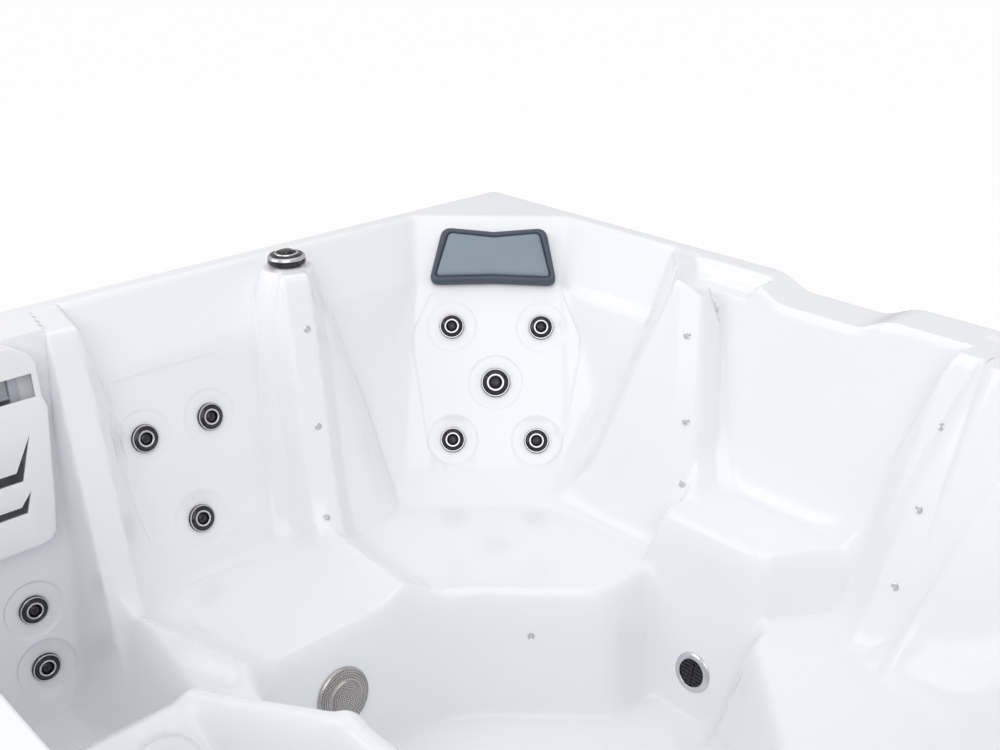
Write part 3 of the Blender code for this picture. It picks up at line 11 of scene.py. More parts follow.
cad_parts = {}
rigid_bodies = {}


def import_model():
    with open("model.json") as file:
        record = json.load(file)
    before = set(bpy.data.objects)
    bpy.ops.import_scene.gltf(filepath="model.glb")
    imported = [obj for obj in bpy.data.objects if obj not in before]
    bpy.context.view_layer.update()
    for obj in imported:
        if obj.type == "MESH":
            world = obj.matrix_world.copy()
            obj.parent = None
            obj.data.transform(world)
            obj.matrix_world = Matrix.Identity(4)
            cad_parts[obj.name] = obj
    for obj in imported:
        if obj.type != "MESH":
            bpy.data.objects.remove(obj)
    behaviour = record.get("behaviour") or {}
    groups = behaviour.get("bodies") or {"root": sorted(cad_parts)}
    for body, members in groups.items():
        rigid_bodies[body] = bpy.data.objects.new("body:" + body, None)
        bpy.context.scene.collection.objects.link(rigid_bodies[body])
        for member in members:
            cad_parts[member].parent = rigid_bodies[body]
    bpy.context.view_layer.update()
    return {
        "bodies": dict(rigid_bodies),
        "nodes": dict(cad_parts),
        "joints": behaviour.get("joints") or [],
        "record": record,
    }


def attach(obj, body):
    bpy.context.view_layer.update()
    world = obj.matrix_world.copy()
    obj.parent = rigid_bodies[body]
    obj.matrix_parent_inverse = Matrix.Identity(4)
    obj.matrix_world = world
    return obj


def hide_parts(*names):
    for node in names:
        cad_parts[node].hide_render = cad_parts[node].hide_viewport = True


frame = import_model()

bl_info = {
    "name": "Hot tub",
    "version": (1, 0, 0),
    "blender": (4, 5, 0),
    "location": "View3D > Sidebar > Hot tub",
    "description": "Dresses the hot tub's packed model with its finished surfaces",
    "category": "Object",
}

# Overall sizes
tub_side = 2.20
rim_height = 0.93
seam_gap = 0.0003
cut_overrun = 0.02

# Shell sheet, lip and skirt
sheet = 0.007
lip_width = 0.04
skirt_drop = 0.085
lip_soft = 0.012
crease_soft = 0.03
corner_flat_depth = 0.25

# Depths below the rim
seat_depth = 0.58
step_depth = 0.45
floor_depth = 0.86
foot_depth = 0.80
armrest_depth = 0.41
low_crest_depth = 0.535
fascia_depth = 0.14
dip_depth = 0.03
scoop_depth = 0.04

# Slopes of the moulded walls, in degrees from level
fascia_angle = 45.0
side_fascia_angle = 53.0
corner_wall_angle = 60.0
side_wall_angle = 74.0
entry_wall_angle = 80.0
foot_wall_angle = 85.0
recline_angle = 50.0
recline_soft = 0.003
ridge_angle = 73.0
north_pillar_side_angle = 78.0
east_pillar_side_angle = 70.0
footwell_angle = 80.0
hump_angle = 55.0
low_crest_angle = 40.0

# Softness of the rounded meetings
seat_round = 0.16
front_round = 0.10
ridge_round = 0.03
hump_round = 0.10
bucket_round = 0.26
bucket_depth = 0.40

# Plan of the footwell: distance of each edge from the tub's middle
footwell_north = 0.43
footwell_south = 0.43
footwell_east = 0.69
footwell_west = 0.17
footwell_north_east = 0.49
footwell_south_east = 0.545
footwell_south_west = 0.40
bay_north = 0.155
bay_south = 0.14
low_crest_x = 0.215
centre_radius = 0.56

# Entry step
step_front = 0.71
step_north = 0.165
step_chamfer_start = -0.10
step_chamfer_run = 0.19
step_chamfer_fall = 0.12

# Decks level with the rim
skimmer_deck = 0.11
east_deck = 0.15
entry_deck = 0.07

# Pillars between the seats: outer end, inner end, half width and start of the slope
pillar_half = 0.03
pillar_reach = 0.40
crest_limit_share = 2.0
pillar_start = 0.085
north_west_pillar_x = -0.205
north_west_pillar_foot_x = -0.25
knob_x = 0.335
knob_y = 0.965
north_pillar_foot_x = 0.235
pillar_foot_y = 0.72
east_pillar_x = 0.915
east_pillar_y = 0.275
east_pillar_foot_x = 0.77
east_pillar_foot_y = 0.15
entry_pillar_x = 0.93
entry_pillar_y = -0.353
entry_pillar_foot_x = 0.79
entry_pillar_foot_y = -0.346
south_pillar_x = 0.31
knob_deck_radius = 0.056
knob_deck_drop = 0.006

# Lounger lane
lane_west = -0.75
lane_east = -0.26
armrest_x = -0.215
armrest_half = 0.03
knee_y = 0.26
knee_east = -0.36
armrest_north = 0.04
foot_front_y = 0.40

# Rim dip by the step and the hand scoop beside it
dip_half = 0.098
dip_run = 0.06
scoop_south = 0.15
scoop_north = 0.36
scoop_west = 0.90
scoop_east = 1.045
scoop_angle = 58.0

# Jets: places on their walls, trim sizes and the barrel through the shell
corner_shift = 0.02
corner_jet_reach = 0.11
corner_jet_low_reach = 0.102
corner_jet_high = 0.22
corner_jet_middle = 0.34
corner_jet_low = 0.463
side_jet_reach = 0.078
side_jet_high = 0.268
side_jet_low = 0.469
foot_jet_x = -0.37
foot_jet_high = 0.52
foot_jet_low = 0.66
calf_jet_x = -0.45
calf_jet_y = 0.19
south_east_shift = -0.055
south_east_reach = 0.085
back_jet_reach = 0.065
back_jet_depth = 0.36
lounger_axis_x = -0.50
jet_radius = 0.0305
large_jet_radius = 0.036
jet_flat_margin = 0.026
jet_recess = 0.004
jet_flat_blend = 0.008
jet_seat_height = 0.003
jet_barrel_radius = 0.019
jet_cup_radius = 0.027
jet_cup_length = 0.055
jet_bore_radius = 0.0105
jet_bore_depth = 0.030
hole_clearance = 0.001
manifold_radius = 0.0125

# Light points: sizes, how far down the barrel the cable joins, and the places in plan of each string
light_radius = 0.008
light_barrel_radius = 0.005
light_barrel_length = 0.024
light_cable_radius = 0.003
cable_share = 0.8
light_places = {
    "north": ((0.299, 0.849), (0.272, 0.791), (0.234, 0.725)),
    "east": ((0.885, 0.253), (0.847, 0.212), (0.815, 0.186)),
    "entry": ((0.905, -0.336), (0.842, -0.347), (0.800, -0.344))}

# Reach of the probe for a fitting's slope, and how often a search for a place is halved
slope_step = 0.008
halvings = 40

# Footwell fittings
cover_x = 0.03
cover_height = 0.145
cover_radius = 0.062
drain_y = 0.005
drain_height = 0.080
drain_radius = 0.044
fitting_barrel_radius = 0.028
fitting_barrel_length = 0.045
footwell_light_height = 0.18
footwell_light_shift = 0.113

# Diverter valve and knob
knob_radius = 0.043
knob_socket_radius = 0.0085
spindle_height = 0.010
valve_neck_radius = 0.014
valve_flange_height = 0.003

# Pillow on the corner seat's fascia, and the one at the lounger's head
pillow_top_half = 0.130
pillow_bottom_half = 0.158
pillow_top_dip = 0.012
pillow_bottom_rise = 0.005
pillow_inward = 0.088
pillow_shift = 0.010

# Skimmer, measured down the wall that it leans with
skimmer_x = -0.44
skimmer_proud = 0.034
skimmer_skin = 0.005
skimmer_hood = 0.070
skimmer_mouth = 0.048
bucket_half = 0.115
bucket_top = 0.022
bucket_bottom = 0.375
upper_louvre_drop = 0.069
upper_louvre_tip = 0.122
upper_louvre_half = 0.092
upper_louvre_rise = 0.091
upper_louvre_height = 0.021
lower_louvre_drop = 0.183
lower_louvre_tip = 0.103
lower_louvre_half = 0.088
lower_louvre_rise = 0.044
lower_louvre_height = 0.016
louvre_turn = 0.010

# Cabinet, frame and base
panel_thick = 0.018
panel_top_tuck = 0.03
corner_cover_leg = 0.10
pan_height = 0.05

# Equipment under the seats
pipe_radius = 0.025
tee_length = 0.035

# Topside control panel on the west deck
control_length = 0.19
control_width = 0.10
control_height = 0.012
control_from_side = 0.18
control_y = -0.18
control_edge = 0.004
button_radius = 0.016
button_travel = 0.002
button_rise = 0.003
button_space = 0.055

# Worked out from the sizes above
root_two = math.sqrt(2)
half_side = tub_side / 2
lip_inner = half_side - lip_width
search_reach = half_side - pillar_foot_y / 2
bay_round = front_round / 2
dip_soft = crease_soft / 3
scoop_soft = crease_soft / 2
cabinet_outer = half_side - sheet - seam_gap
cabinet_inner = cabinet_outer - panel_thick
cabinet_low = pan_height + seam_gap

# Shell's net: levels of its nested grids, step for its normals in fine steps, and least gap of its points
upper_levels = (0, 4)
under_levels = (2, 4)
probe_share = 0.125
tiny_gap = 0.00001

# Angles over which an edge shows sharp or is bevelled, and the sides of plain rods
smooth_angle = math.radians(35)
bevel_angle = math.radians(60)
rod_sides = 24

# Jets whose faces turn, and the six-sided nozzle in each face
turning_groups = ("corner", "side", "foot", "calf")
nozzle_sides = 6
nozzle_tilt = 14.0
nozzle_shift = 0.0024
nozzle_lift = 0.0105

# Jet panels pressed into the seat backs: half widths and depths of their outline, from the top down
panel_outline = ((0.165, 0.150), (0.209, 0.235), (0.209, 0.275), (0.165, 0.490), (0.0, 0.560))
side_panel_outline = ((0.125, 0.150), (0.168, 0.225), (0.168, 0.290), (0.138, 0.480), (0.0, 0.552))

# Suction cover: rings of holes and their spacing
cover_rings = (
    0.0052, 0.0100, 0.0148, 0.0196, 0.0244, 0.0292, 0.0335, 0.0425, 0.0472, 0.0519, 0.0562)
cover_pitch = 0.0048
cover_hole = 0.00145
cover_hole_sides = 8
cover_skin = 0.0015
cover_floor = 0.0012
hole_share = 0.9
chamber_share = 0.9

# Drain's grille
grille_radius = 0.0300
grille_low = 0.001
spine_top = 0.0052
louvre_top = 0.0042
louvre_bar = 0.0028
louvre_rows = 3
louvre_margin = 0.7

# Pillows: inset and height of each outline, then their size and the rounding of their corners
pillow_frame_rings = (
    (0.0040, 0.0003), (0.0008, 0.0040), (0.0, 0.0090), (0.0, 0.0180), (0.0012, 0.0228),
    (0.0036, 0.0260), (0.0070, 0.0277), (0.0100, 0.0278), (0.0130, 0.0264), (0.0152, 0.0240),
    (0.0166, 0.0212), (0.0170, 0.0190))
pillow_pad_rings = (
    (0.0173, 0.0193), (0.0173, 0.0230), (0.0184, 0.0262), (0.0206, 0.0286), (0.0240, 0.0306),
    (0.0290, 0.0322), (0.0350, 0.0333), (0.0430, 0.0341), (0.0520, 0.0345))
pillow_height = 0.154
pillow_lift = 0.004
pillow_arc_steps = 8
pillow_round = 0.026
least_round_share = 0.45

# Skimmer front: right half of its outline from the foot up, and the inset and height of its edge's rings
skimmer_side = (
    (0.100, -0.4230), (0.124, -0.4190), (0.138, -0.4030), (0.147, -0.3430), (0.1695, -0.1450),
    (0.1620, -0.1170), (0.1620, -0.0500), (0.1500, -0.0300), (0.1150, -0.0080))
skimmer_rings = (
    (0.0, 0.0003), (0.0, 0.0260), (0.0010, 0.0300), (0.0030, 0.0325), (0.0060, 0.0338),
    (0.0085, 0.0340))
skimmer_mouth_half = 0.148
skimmer_cut_round = 0.0008
wall_turn = Matrix(((1, 0, 0, 0), (0, 0, -1, 0), (0, 1, 0, 0), (0, 0, 0, 1)))

# Cabinet boards and corner covers
board_rows = 6
groove_depth = 0.004
groove_half = 0.004
cover_round = 0.018
cover_round_steps = 6
edge_ease = 0.0015
board_turn = Matrix(((0, 0, 1, 0), (1, 0, 0, 0), (0, 1, 0, 0), (0, 0, 0, 1)))

# Detail of the noise in every finish: broad patches, then fine grain
patch_detail = 4.0
patch_falloff = 0.55
grain_detail = 3.0
grain_falloff = 0.6

# Stage: each lamp has its name, place, width and power in watts
stage_reach = 60.0
ambient_strength = 0.62
floor_glow = 0.97
floor_shade = (0.8, 0.8, 0.8)
stage_lamps = (
    ("key_light", (-3.0, -3.2, 4.2), 6.0, 136.0),
    ("fill_light", (-3.6, 2.6, 3.0), 4.0, 66.0),
    ("top_light", (0.6, 0.8, 4.8), 5.0, 36.0))

# Camera, solved from the rim's edges in the photograph
sensor_width = 36.0
lens_length = 43.2
camera_place = (-1.087, -1.237, 1.78)
camera_side = Vector((0.7266, -0.6871))
camera_fall = math.asin(0.40035)

# Outlines of the small fittings from the bottom up the outer side: a finish, then radius and height
ring_bands = (
    ("black_gloss", (0.0300, 0.0003), (0.0305, 0.0012), (0.0303, 0.0058), (0.0294, 0.0072)),
    ("silver_trim", (0.0287, 0.0079), (0.0280, 0.0080), (0.0270, 0.0079)),
    ("black_gloss", (0.0264, 0.0074), (0.0260, 0.0070)),
    ("dark_satin", (0.0260, 0.0030)))
face_bands = (
    ("black_gloss", (0.0253, 0.0033), (0.0253, 0.0074), (0.0246, 0.0080), (0.0178, 0.0100)),
    ("silver_trim", (0.0172, 0.0108), (0.0162, 0.0110), (0.0148, 0.0110), (0.0140, 0.0104)),
    ("black_gloss", (0.0136, 0.0046), (0.0128, 0.0046), (0.0112, 0.0070), (0.0086, 0.0090),
     (0.0050, 0.0102), (0.0020, 0.0106)))
nozzle_bands = (
    ("black_gloss", (0.0058, -0.0020), (0.0058, 0.0008), (0.0048, 0.0008)),
    ("dark_satin", (0.0040, -0.0014)))
knob_bands = (
    ("black_gloss", (0.0400, 0.0033), (0.0425, 0.0045), (0.0430, 0.0060), (0.0430, 0.0160)),
    ("silver_trim", (0.0424, 0.0185), (0.0408, 0.0215), (0.0384, 0.0230), (0.0366, 0.0230)),
    ("black_gloss", (0.0356, 0.0222), (0.0268, 0.0262)),
    ("silver_trim", (0.0260, 0.0280), (0.0250, 0.0285), (0.0232, 0.0285), (0.0224, 0.0278)),
    ("dark_satin", (0.0220, 0.0262), (0.0160, 0.0262)),
    ("black_gloss", (0.0156, 0.0305), (0.0142, 0.0324), (0.0100, 0.0332), (0.0030, 0.0333)))
light_bands = (
    ("bright_chrome", (0.0080, 0.0003), (0.0080, 0.0010), (0.0074, 0.0020), (0.0064, 0.0023),
     (0.0056, 0.0018), (0.0050, 0.0013)),
    ("frosted_lens", (0.0048, 0.0014), (0.0036, 0.0021), (0.0018, 0.0024), (0.0006, 0.0025)))
drain_bands = (
    ("silver_trim", (0.0440, 0.0003), (0.0440, 0.0018), (0.0430, 0.0030), (0.0330, 0.0060),
     (0.0316, 0.0060), (0.0310, 0.0054)),
    ("black_gloss", (0.0308, 0.0014), (grille_radius, 0.0012)))
button_bands = (
    ("grey_satin", (0.0155, 0.0), (0.0155, 0.0046), (0.0150, 0.0054), (0.0138, 0.0060),
     (0.0110, 0.0058), (0.0030, 0.0054)),)

# Suction cover's dome: radius and height, from the middle out
cover_heights = (
    (0.0, 0.0200), (0.015, 0.0197), (0.030, 0.0184), (0.0355, 0.0165), (0.0375, 0.0125),
    (0.0400, 0.0118), (0.0500, 0.0105), (0.0580, 0.0074), (0.0612, 0.0040), (0.0620, 0.0006))

# Finishes of the equipment and the frame, whose solids show as they are
inner_finishes = {
    "skimmer_bucket": "pale_satin", "weir_door": "grey_satin", "filter_cartridge": "filter_cloth",
    "diverter_valve": "dark_satin", "base_pan": "dark_satin", "support_frame": "frame_steel",
    "footwell_support": "foam_board", "pump_motor": "motor_paint", "pump_wet_end": "black_gloss",
    "circulation_pump": "motor_paint", "control_box": "grey_satin", "heater_tube": "warm_steel",
    "air_blower": "dark_satin", "suction_pipe": "pipe_white", "supply_pipe": "pipe_white"}


def linear_of(code):
    """Linear colour from an sRGB hex code, by the sRGB transfer curve."""
    channels = [int(code[start:start + 2], 16) / 255 for start in (1, 3, 5)]
    return tuple(
        value / 12.92 if value <= 0.04045 else ((value + 0.055) / 1.055) ** 2.4 for value in channels)


def closed_pairs(loop):
    """Each entry of a closed loop with the one after it."""
    return zip(loop, loop[1:] + loop[:1])


def circle(radius, count, centre=(0.0, 0.0)):
    """Points of a circle in plan, counter-clockwise from +X."""
    turns = [2 * math.pi * index / count for index in range(count)]
    return [(centre[0] + radius * math.cos(turn), centre[1] + radius * math.sin(turn)) for turn in turns]


def slope(degrees):
    """Rise for each metre run of a slope given in degrees."""
    return math.tan(math.radians(degrees))


def smooth_low(first, second, reach):
    """Smaller of two heights, rounded where they meet."""
    share = numpy.clip(reach - numpy.abs(first - second), 0, None) / reach
    return numpy.minimum(first, second) - share * share * reach / 4


def smooth_high(first, second, reach):
    """Larger of two heights, rounded where they meet."""
    return -smooth_low(-first, -second, reach)


def wall_drop(inward, level_run, fascia, fascia_deg, wall_deg, soft=crease_soft):
    """Depth below the rim at a distance inward of the lip: a level run, a fascia, then the wall."""
    fascia_slope = slope(fascia_deg)
    crease = level_run + fascia / fascia_slope
    upper = (inward - level_run) * fascia_slope
    lower = fascia + (inward - crease) * slope(wall_deg)
    return smooth_high(upper, lower, soft)


class Ridge:
    """A pillar between two seats: its crest slopes down from the rim along a line in plan."""

    def __init__(self, outer, inner, start, side_angle):
        self.outer = Vector(outer)
        self.way = (Vector(inner) - self.outer).normalized()
        self.start = start
        self.side_slope = slope(side_angle)

    def crest(self, x, y):
        along = (x - self.outer.x) * self.way.x + (y - self.outer.y) * self.way.y
        across = (x - self.outer.x) * self.way.y - (y - self.outer.y) * self.way.x
        top = smooth_high((along - self.start) * slope(ridge_angle), 0 * along, ridge_round)
        return smooth_low(top, crest_limit_share * floor_depth + 0 * x, ridge_round), across, along

    def side(self, x, y, turn):
        """Depth that the pillar's side allows to the seat on one side of it."""
        top, across, along = self.crest(x, y)
        return top + (across * turn - pillar_half) * self.side_slope

    def face(self, x, y):
        """The pillar's own face, which falls away to both sides and ends past its foot."""
        top, across, along = self.crest(x, y)
        out = numpy.clip(numpy.abs(across) - pillar_half, 0, None)
        past = numpy.clip(along - pillar_reach, 0, None)
        return top - (out + past) * self.side_slope


def pillar_ridges():
    """The six pillars, from the one beside the skimmer clockwise to the one beside the head."""
    north_west_foot = (north_west_pillar_foot_x, pillar_foot_y)
    north_foot = (north_pillar_foot_x, pillar_foot_y)
    south_foot = (north_pillar_foot_x, -pillar_foot_y)
    south_west_foot = (north_west_pillar_foot_x, -pillar_foot_y)
    east = (east_pillar_x, east_pillar_y)
    east_foot = (east_pillar_foot_x, east_pillar_foot_y)
    entry = (entry_pillar_x, entry_pillar_y)
    entry_foot = (entry_pillar_foot_x, entry_pillar_foot_y)
    return (
        Ridge((north_west_pillar_x, knob_y), north_west_foot, pillar_start / 2, north_pillar_side_angle),
        Ridge((knob_x, knob_y), north_foot, pillar_start, north_pillar_side_angle),
        Ridge(east, east_foot, 0, east_pillar_side_angle),
        Ridge(entry, entry_foot, 0, east_pillar_side_angle),
        Ridge((south_pillar_x, -knob_y), south_foot, pillar_start, north_pillar_side_angle),
        Ridge((north_west_pillar_x, -knob_y), south_west_foot, pillar_start, north_pillar_side_angle))


def low_of(terms, reach):
    """Smooth lowest of several depths."""
    result = terms[0]
    for term in terms[1:]:
        result = smooth_low(result, term, reach)
    return result


def high_of(terms, reach):
    """Smooth highest of several depths."""
    result = terms[0]
    for term in terms[1:]:
        result = smooth_high(result, term, reach)
    return result


def joined_low(terms):
    """Smooth lowest of wall depths: crisp at the rim, broadly rounded further down."""
    result = terms[0]
    for term in terms[1:]:
        share = numpy.clip((numpy.minimum(result, term) - fascia_depth) / bucket_depth, 0, 1)
        result = smooth_low(result, term, lip_soft + share * bucket_round)
    return result


def half_limit(toward):
    """Keeps a seat's walls to its own side of the tub."""
    return (toward + centre_radius) * slope(side_wall_angle)


def wall_depth(x, y):
    """How deep the moulded walls let each seat reach at a place in plan."""
    ridges = pillar_ridges()
    by_skimmer, by_knob, by_step, by_entry, by_south_seat, by_head = ridges
    lane_edge = Ridge(
        (north_west_pillar_x, knob_y), (north_west_pillar_foot_x, pillar_foot_y), pillar_start / 2,
        foot_wall_angle)
    corner_line = half_side * root_two - corner_flat_depth
    north = lip_inner - y
    south = lip_inner + y
    east = lip_inner - x
    west_wall = (x - lane_west) * slope(side_wall_angle)
    north_wall = wall_drop(north, 0, fascia_depth, side_fascia_angle, side_wall_angle)
    south_wall = wall_drop(south, 0, fascia_depth, side_fascia_angle, side_wall_angle)
    east_wall = wall_drop(east, 0, fascia_depth, side_fascia_angle, side_wall_angle)
    foot_wall = (north - skimmer_deck) * slope(foot_wall_angle)
    recline = wall_drop(south, 0, fascia_depth, fascia_angle, recline_angle, recline_soft)
    corner_ne = joined_low((
        wall_drop(corner_line - (x + y) / root_two, 0, fascia_depth, fascia_angle, corner_wall_angle),
        north_wall, east_wall, half_limit(x + y), by_knob.side(x, y, -1), by_step.side(x, y, 1)))
    seat_n = joined_low((north_wall, half_limit(y), by_skimmer.side(x, y, -1), by_knob.side(x, y, 1)))
    seat_s = joined_low((south_wall, half_limit(-y), by_south_seat.side(x, y, -1), by_head.side(x, y, 1)))
    lane_n = joined_low((foot_wall, west_wall, half_limit(y), lane_edge.side(x, y, 1)))
    lane_s = joined_low((recline, west_wall, half_limit(-y), by_head.side(x, y, -1)))
    entry = joined_low((
        (east - entry_deck) * slope(entry_wall_angle),
        half_limit(x), by_step.side(x, y, -1), by_entry.side(x, y, 1)))
    corner_se = joined_low((
        wall_drop(corner_line - (x - y) / root_two, 0, fascia_depth, fascia_angle, corner_wall_angle),
        (east - east_deck) * slope(side_wall_angle),
        south_wall, half_limit(x - y), by_entry.side(x, y, -1), by_south_seat.side(x, y, 1)))
    middle = floor_depth + (centre_radius - numpy.hypot(x, y)) * slope(side_wall_angle)
    rim_limit = low_of((north_wall, south_wall, east_wall, west_wall), crease_soft)
    faces = high_of([ridge.face(x, y) for ridge in ridges], ridge_round)
    pockets = high_of((corner_ne, seat_n, seat_s, lane_n, lane_s, entry, corner_se, middle), ridge_round)
    pockets = smooth_low(pockets, west_wall, crease_soft)
    walls = smooth_high(pockets, smooth_low(faces, rim_limit, crease_soft), ridge_round)
    deck = (numpy.hypot(x - knob_x, y - knob_y) - knob_deck_radius) * slope(side_wall_angle)
    return smooth_low(walls, smooth_high(deck, knob_deck_drop + 0 * x, lip_soft), lip_soft)


def footwell_drop(x, y):
    """Depth of the footwell, whose walls start at the seats' front edges."""
    main = low_of((
        footwell_north - y,
        footwell_south + y,
        footwell_east - x,
        footwell_west + x,
        footwell_north_east - (x + y) / root_two,
        footwell_south_east - (x - y) / root_two,
        footwell_south_west + (x + y) / root_two), front_round)
    bay = low_of((footwell_east - x, bay_north - y, y + bay_south, x), bay_round)
    inward = smooth_high(main, bay, ridge_round)
    return smooth_low(seat_depth + inward * slope(footwell_angle), floor_depth + 0 * x, front_round)


def crest_between(x, y, outer, inner, half, top, angle, reach):
    """A low crest along a line in plan, falling to both sides and past both ends."""
    start = Vector(outer)
    line = Vector(inner) - start
    along = ((x - start.x) * line.x + (y - start.y) * line.y) / line.length_squared
    along = numpy.clip(along, 0, 1)
    away = numpy.hypot(x - start.x - along * line.x, y - start.y - along * line.y)
    return smooth_high((away - half) * slope(angle), 0 * x, reach) + top


def terrain_depth(x, y):
    """Depth of seats, step, footwell and lounger, without the walls round them."""
    ground = seat_depth + 0 * x
    crests = (
        ((north_pillar_foot_x, pillar_foot_y), (low_crest_x, footwell_north)),
        ((north_pillar_foot_x, -pillar_foot_y), (low_crest_x, -footwell_south)),
        ((north_west_pillar_foot_x, pillar_foot_y), (-footwell_west, footwell_north)))
    for outer, inner in crests:
        crest = crest_between(x, y, outer, inner, 0, low_crest_depth, low_crest_angle, ridge_round)
        ground = smooth_low(ground, crest, ridge_round)
    ground = smooth_high(ground, footwell_drop(x, y), front_round)
    foot = low_of((lane_east - x, x - lane_west, y - foot_front_y), bay_round)
    foot_drop = smooth_low(seat_depth + foot * slope(side_wall_angle), foot_depth + 0 * x, front_round)
    ground = smooth_high(ground, foot_drop, bay_round)
    chamfer = Vector((step_chamfer_run, -step_chamfer_fall)).normalized()
    outside = high_of((
        step_front - x,
        y - step_north,
        (x - step_front) * chamfer.y - (y - step_chamfer_start) * chamfer.x), crease_soft)
    step = step_depth + smooth_high(outside, 0 * x, lip_soft) * slope(footwell_angle)
    ground = smooth_low(ground, step, ridge_round)
    turns = (
        (lane_west, knee_y), (knee_east, knee_y), (armrest_x, armrest_north), (armrest_x, -footwell_south))
    for outer, inner, angle in zip(turns, turns[1:], (hump_angle, side_wall_angle, side_wall_angle)):
        hump = crest_between(x, y, outer, inner, armrest_half, armrest_depth, angle, hump_round)
        ground = smooth_low(ground, hump, ridge_round)
    return ground


def rim_marks(x, y):
    """The rim's dip by the entry and the hand scoop beside it."""
    side = (dip_half + dip_run - numpy.abs(y)) * dip_depth / dip_run
    dip = low_of((side, dip_depth + 0 * x, x - lip_inner / 2), dip_soft)
    scoop = low_of((
        (y - scoop_south) * slope(scoop_angle),
        (scoop_north - y) * slope(scoop_angle),
        (x - scoop_west) * slope(scoop_angle),
        (scoop_east - x) * slope(scoop_angle),
        scoop_depth + 0 * x), scoop_soft)
    return smooth_high(dip, scoop, dip_soft)


def plain_depth(x, y):
    """Depth of the moulded surface below the rim, without the jets' recesses and panels."""
    walls = smooth_high(wall_depth(x, y), 0 * x, lip_soft)
    depth = smooth_low(walls, terrain_depth(x, y), seat_round)
    return smooth_high(depth, rim_marks(x, y), lip_soft)


class Spot:
    """A place on the shell where a fitting sits: its point, outward normal and level plane."""

    def __init__(self, x, y, radius, recess):
        probe = numpy.array((0.0, slope_step, -slope_step))
        across = plain_depth(x + probe, y + 0 * probe)
        along = plain_depth(x + 0 * probe, y + probe)
        run = probe[1] - probe[2]
        self.x = x
        self.y = y
        self.slope_x = float(across[1] - across[2]) / run
        self.slope_y = float(along[1] - along[2]) / run
        self.steepness = math.sqrt(1 + self.slope_x ** 2 + self.slope_y ** 2)
        self.depth = float(across[0]) + recess * self.steepness
        self.radius = radius
        self.normal = Vector((self.slope_x, self.slope_y, 1)) / self.steepness
        self.point = Vector((x, y, rim_height - self.depth))

    def plane(self, x, y):
        return self.depth + self.slope_x * (x - self.x) + self.slope_y * (y - self.y)

    def distance(self, x, y):
        """Distance from the spot measured in its own plane."""
        fall = self.plane(x, y) - self.depth
        return numpy.sqrt((x - self.x) ** 2 + (y - self.y) ** 2 + fall ** 2)

    def frame(self):
        """Turns +Z to the normal and puts the origin on the spot."""
        return Matrix.Translation(self.point) @ self.normal.to_track_quat("Z", "Y").to_matrix().to_4x4()


def walked_in(start_x, start_y, inward, depth):
    """Places in plan, inward of their starts, where the shell is first as deep as asked."""
    near = numpy.zeros(len(start_x))
    far = numpy.full(len(start_x), search_reach)
    for _ in range(halvings):
        middle = (near + far) / 2
        shallow = plain_depth(start_x + inward[0] * middle, start_y + inward[1] * middle) < depth
        near = numpy.where(shallow, middle, near)
        far = numpy.where(shallow, far, middle)
    return (start_x + inward[0] * near).tolist(), (start_y + inward[1] * near).tolist()


def place_at_depth(start, inward, depth):
    """The place in plan, inward of one at the rim, where the shell is as deep as asked."""
    (x,), (y,) = walked_in(numpy.array([start[0]]), numpy.array([start[1]]), inward, depth)
    return x, y


def corner_place(turn, across, depth):
    """A place on a corner seat's back: turn is 1 for the north-east corner, -1 for the south-east."""
    across = across / root_two
    east = half_side + across - corner_flat_depth / 2
    north = half_side - across - corner_flat_depth / 2
    return place_at_depth((east, turn * north), (-1 / root_two, -turn / root_two), depth)


def jet_table():
    """Every jet: its set, its place in plan and its trim radius."""
    north = (0, -1)
    south = (0, 1)
    side_rows = ((-side_jet_reach, side_jet_high), (0, side_jet_low), (side_jet_reach, side_jet_high))
    table = []
    for reach, depth, radius in (
            (-corner_jet_reach, corner_jet_high, jet_radius),
            (-corner_jet_low_reach, corner_jet_low, jet_radius),
            (0, corner_jet_middle, large_jet_radius),
            (corner_jet_low_reach, corner_jet_low, jet_radius),
            (corner_jet_reach, corner_jet_high, jet_radius)):
        table.append(("corner", corner_place(1, corner_shift + reach, depth), radius))
    for x, depth in side_rows:
        table.append(("side", place_at_depth((x, lip_inner), north, depth), jet_radius))
    for depth in (foot_jet_high, foot_jet_low):
        table.append(("foot", place_at_depth((foot_jet_x, lip_inner), north, depth), jet_radius))
    table.append(("calf", (calf_jet_x, calf_jet_y), jet_radius))
    for x, depth in side_rows:
        table.append(("south", place_at_depth((x, -lip_inner), south, depth), jet_radius))
    south_east_row = (
        (-south_east_reach, corner_jet_high), (0, corner_jet_middle), (south_east_reach, corner_jet_high))
    for reach, depth in south_east_row:
        table.append(("south_east", corner_place(-1, south_east_shift + reach, depth), jet_radius))
    for side in (-1, 1):
        start = (lounger_axis_x + side * back_jet_reach, -lip_inner)
        table.append(("lounger", place_at_depth(start, south, back_jet_depth), jet_radius))
    return table


def wall_run(height, top_depth):
    """How far a footwell wall leans in between a depth and a height over the footwell floor."""
    return (floor_depth - height - top_depth) / slope(footwell_angle)


def fitting_table():
    """The footwell's fittings and the diverter's knob, by name."""
    cover_y = footwell_north - wall_run(cover_height, seat_depth)
    drain_x = footwell_east - wall_run(drain_height, seat_depth)
    light_reach = footwell_north_east - wall_run(footwell_light_height, seat_depth)
    light_x = (light_reach + footwell_light_shift) / root_two
    light_y = (light_reach - footwell_light_shift) / root_two
    return {
        "suction": Spot(cover_x, cover_y, cover_radius + jet_flat_blend, 0),
        "drain": Spot(drain_x, drain_y, drain_radius + jet_flat_blend, 0),
        "footwell_light": Spot(light_x, light_y, light_radius + jet_flat_blend, 0),
        "knob": Spot(knob_x, knob_y, knob_radius + jet_flat_blend, 0)}


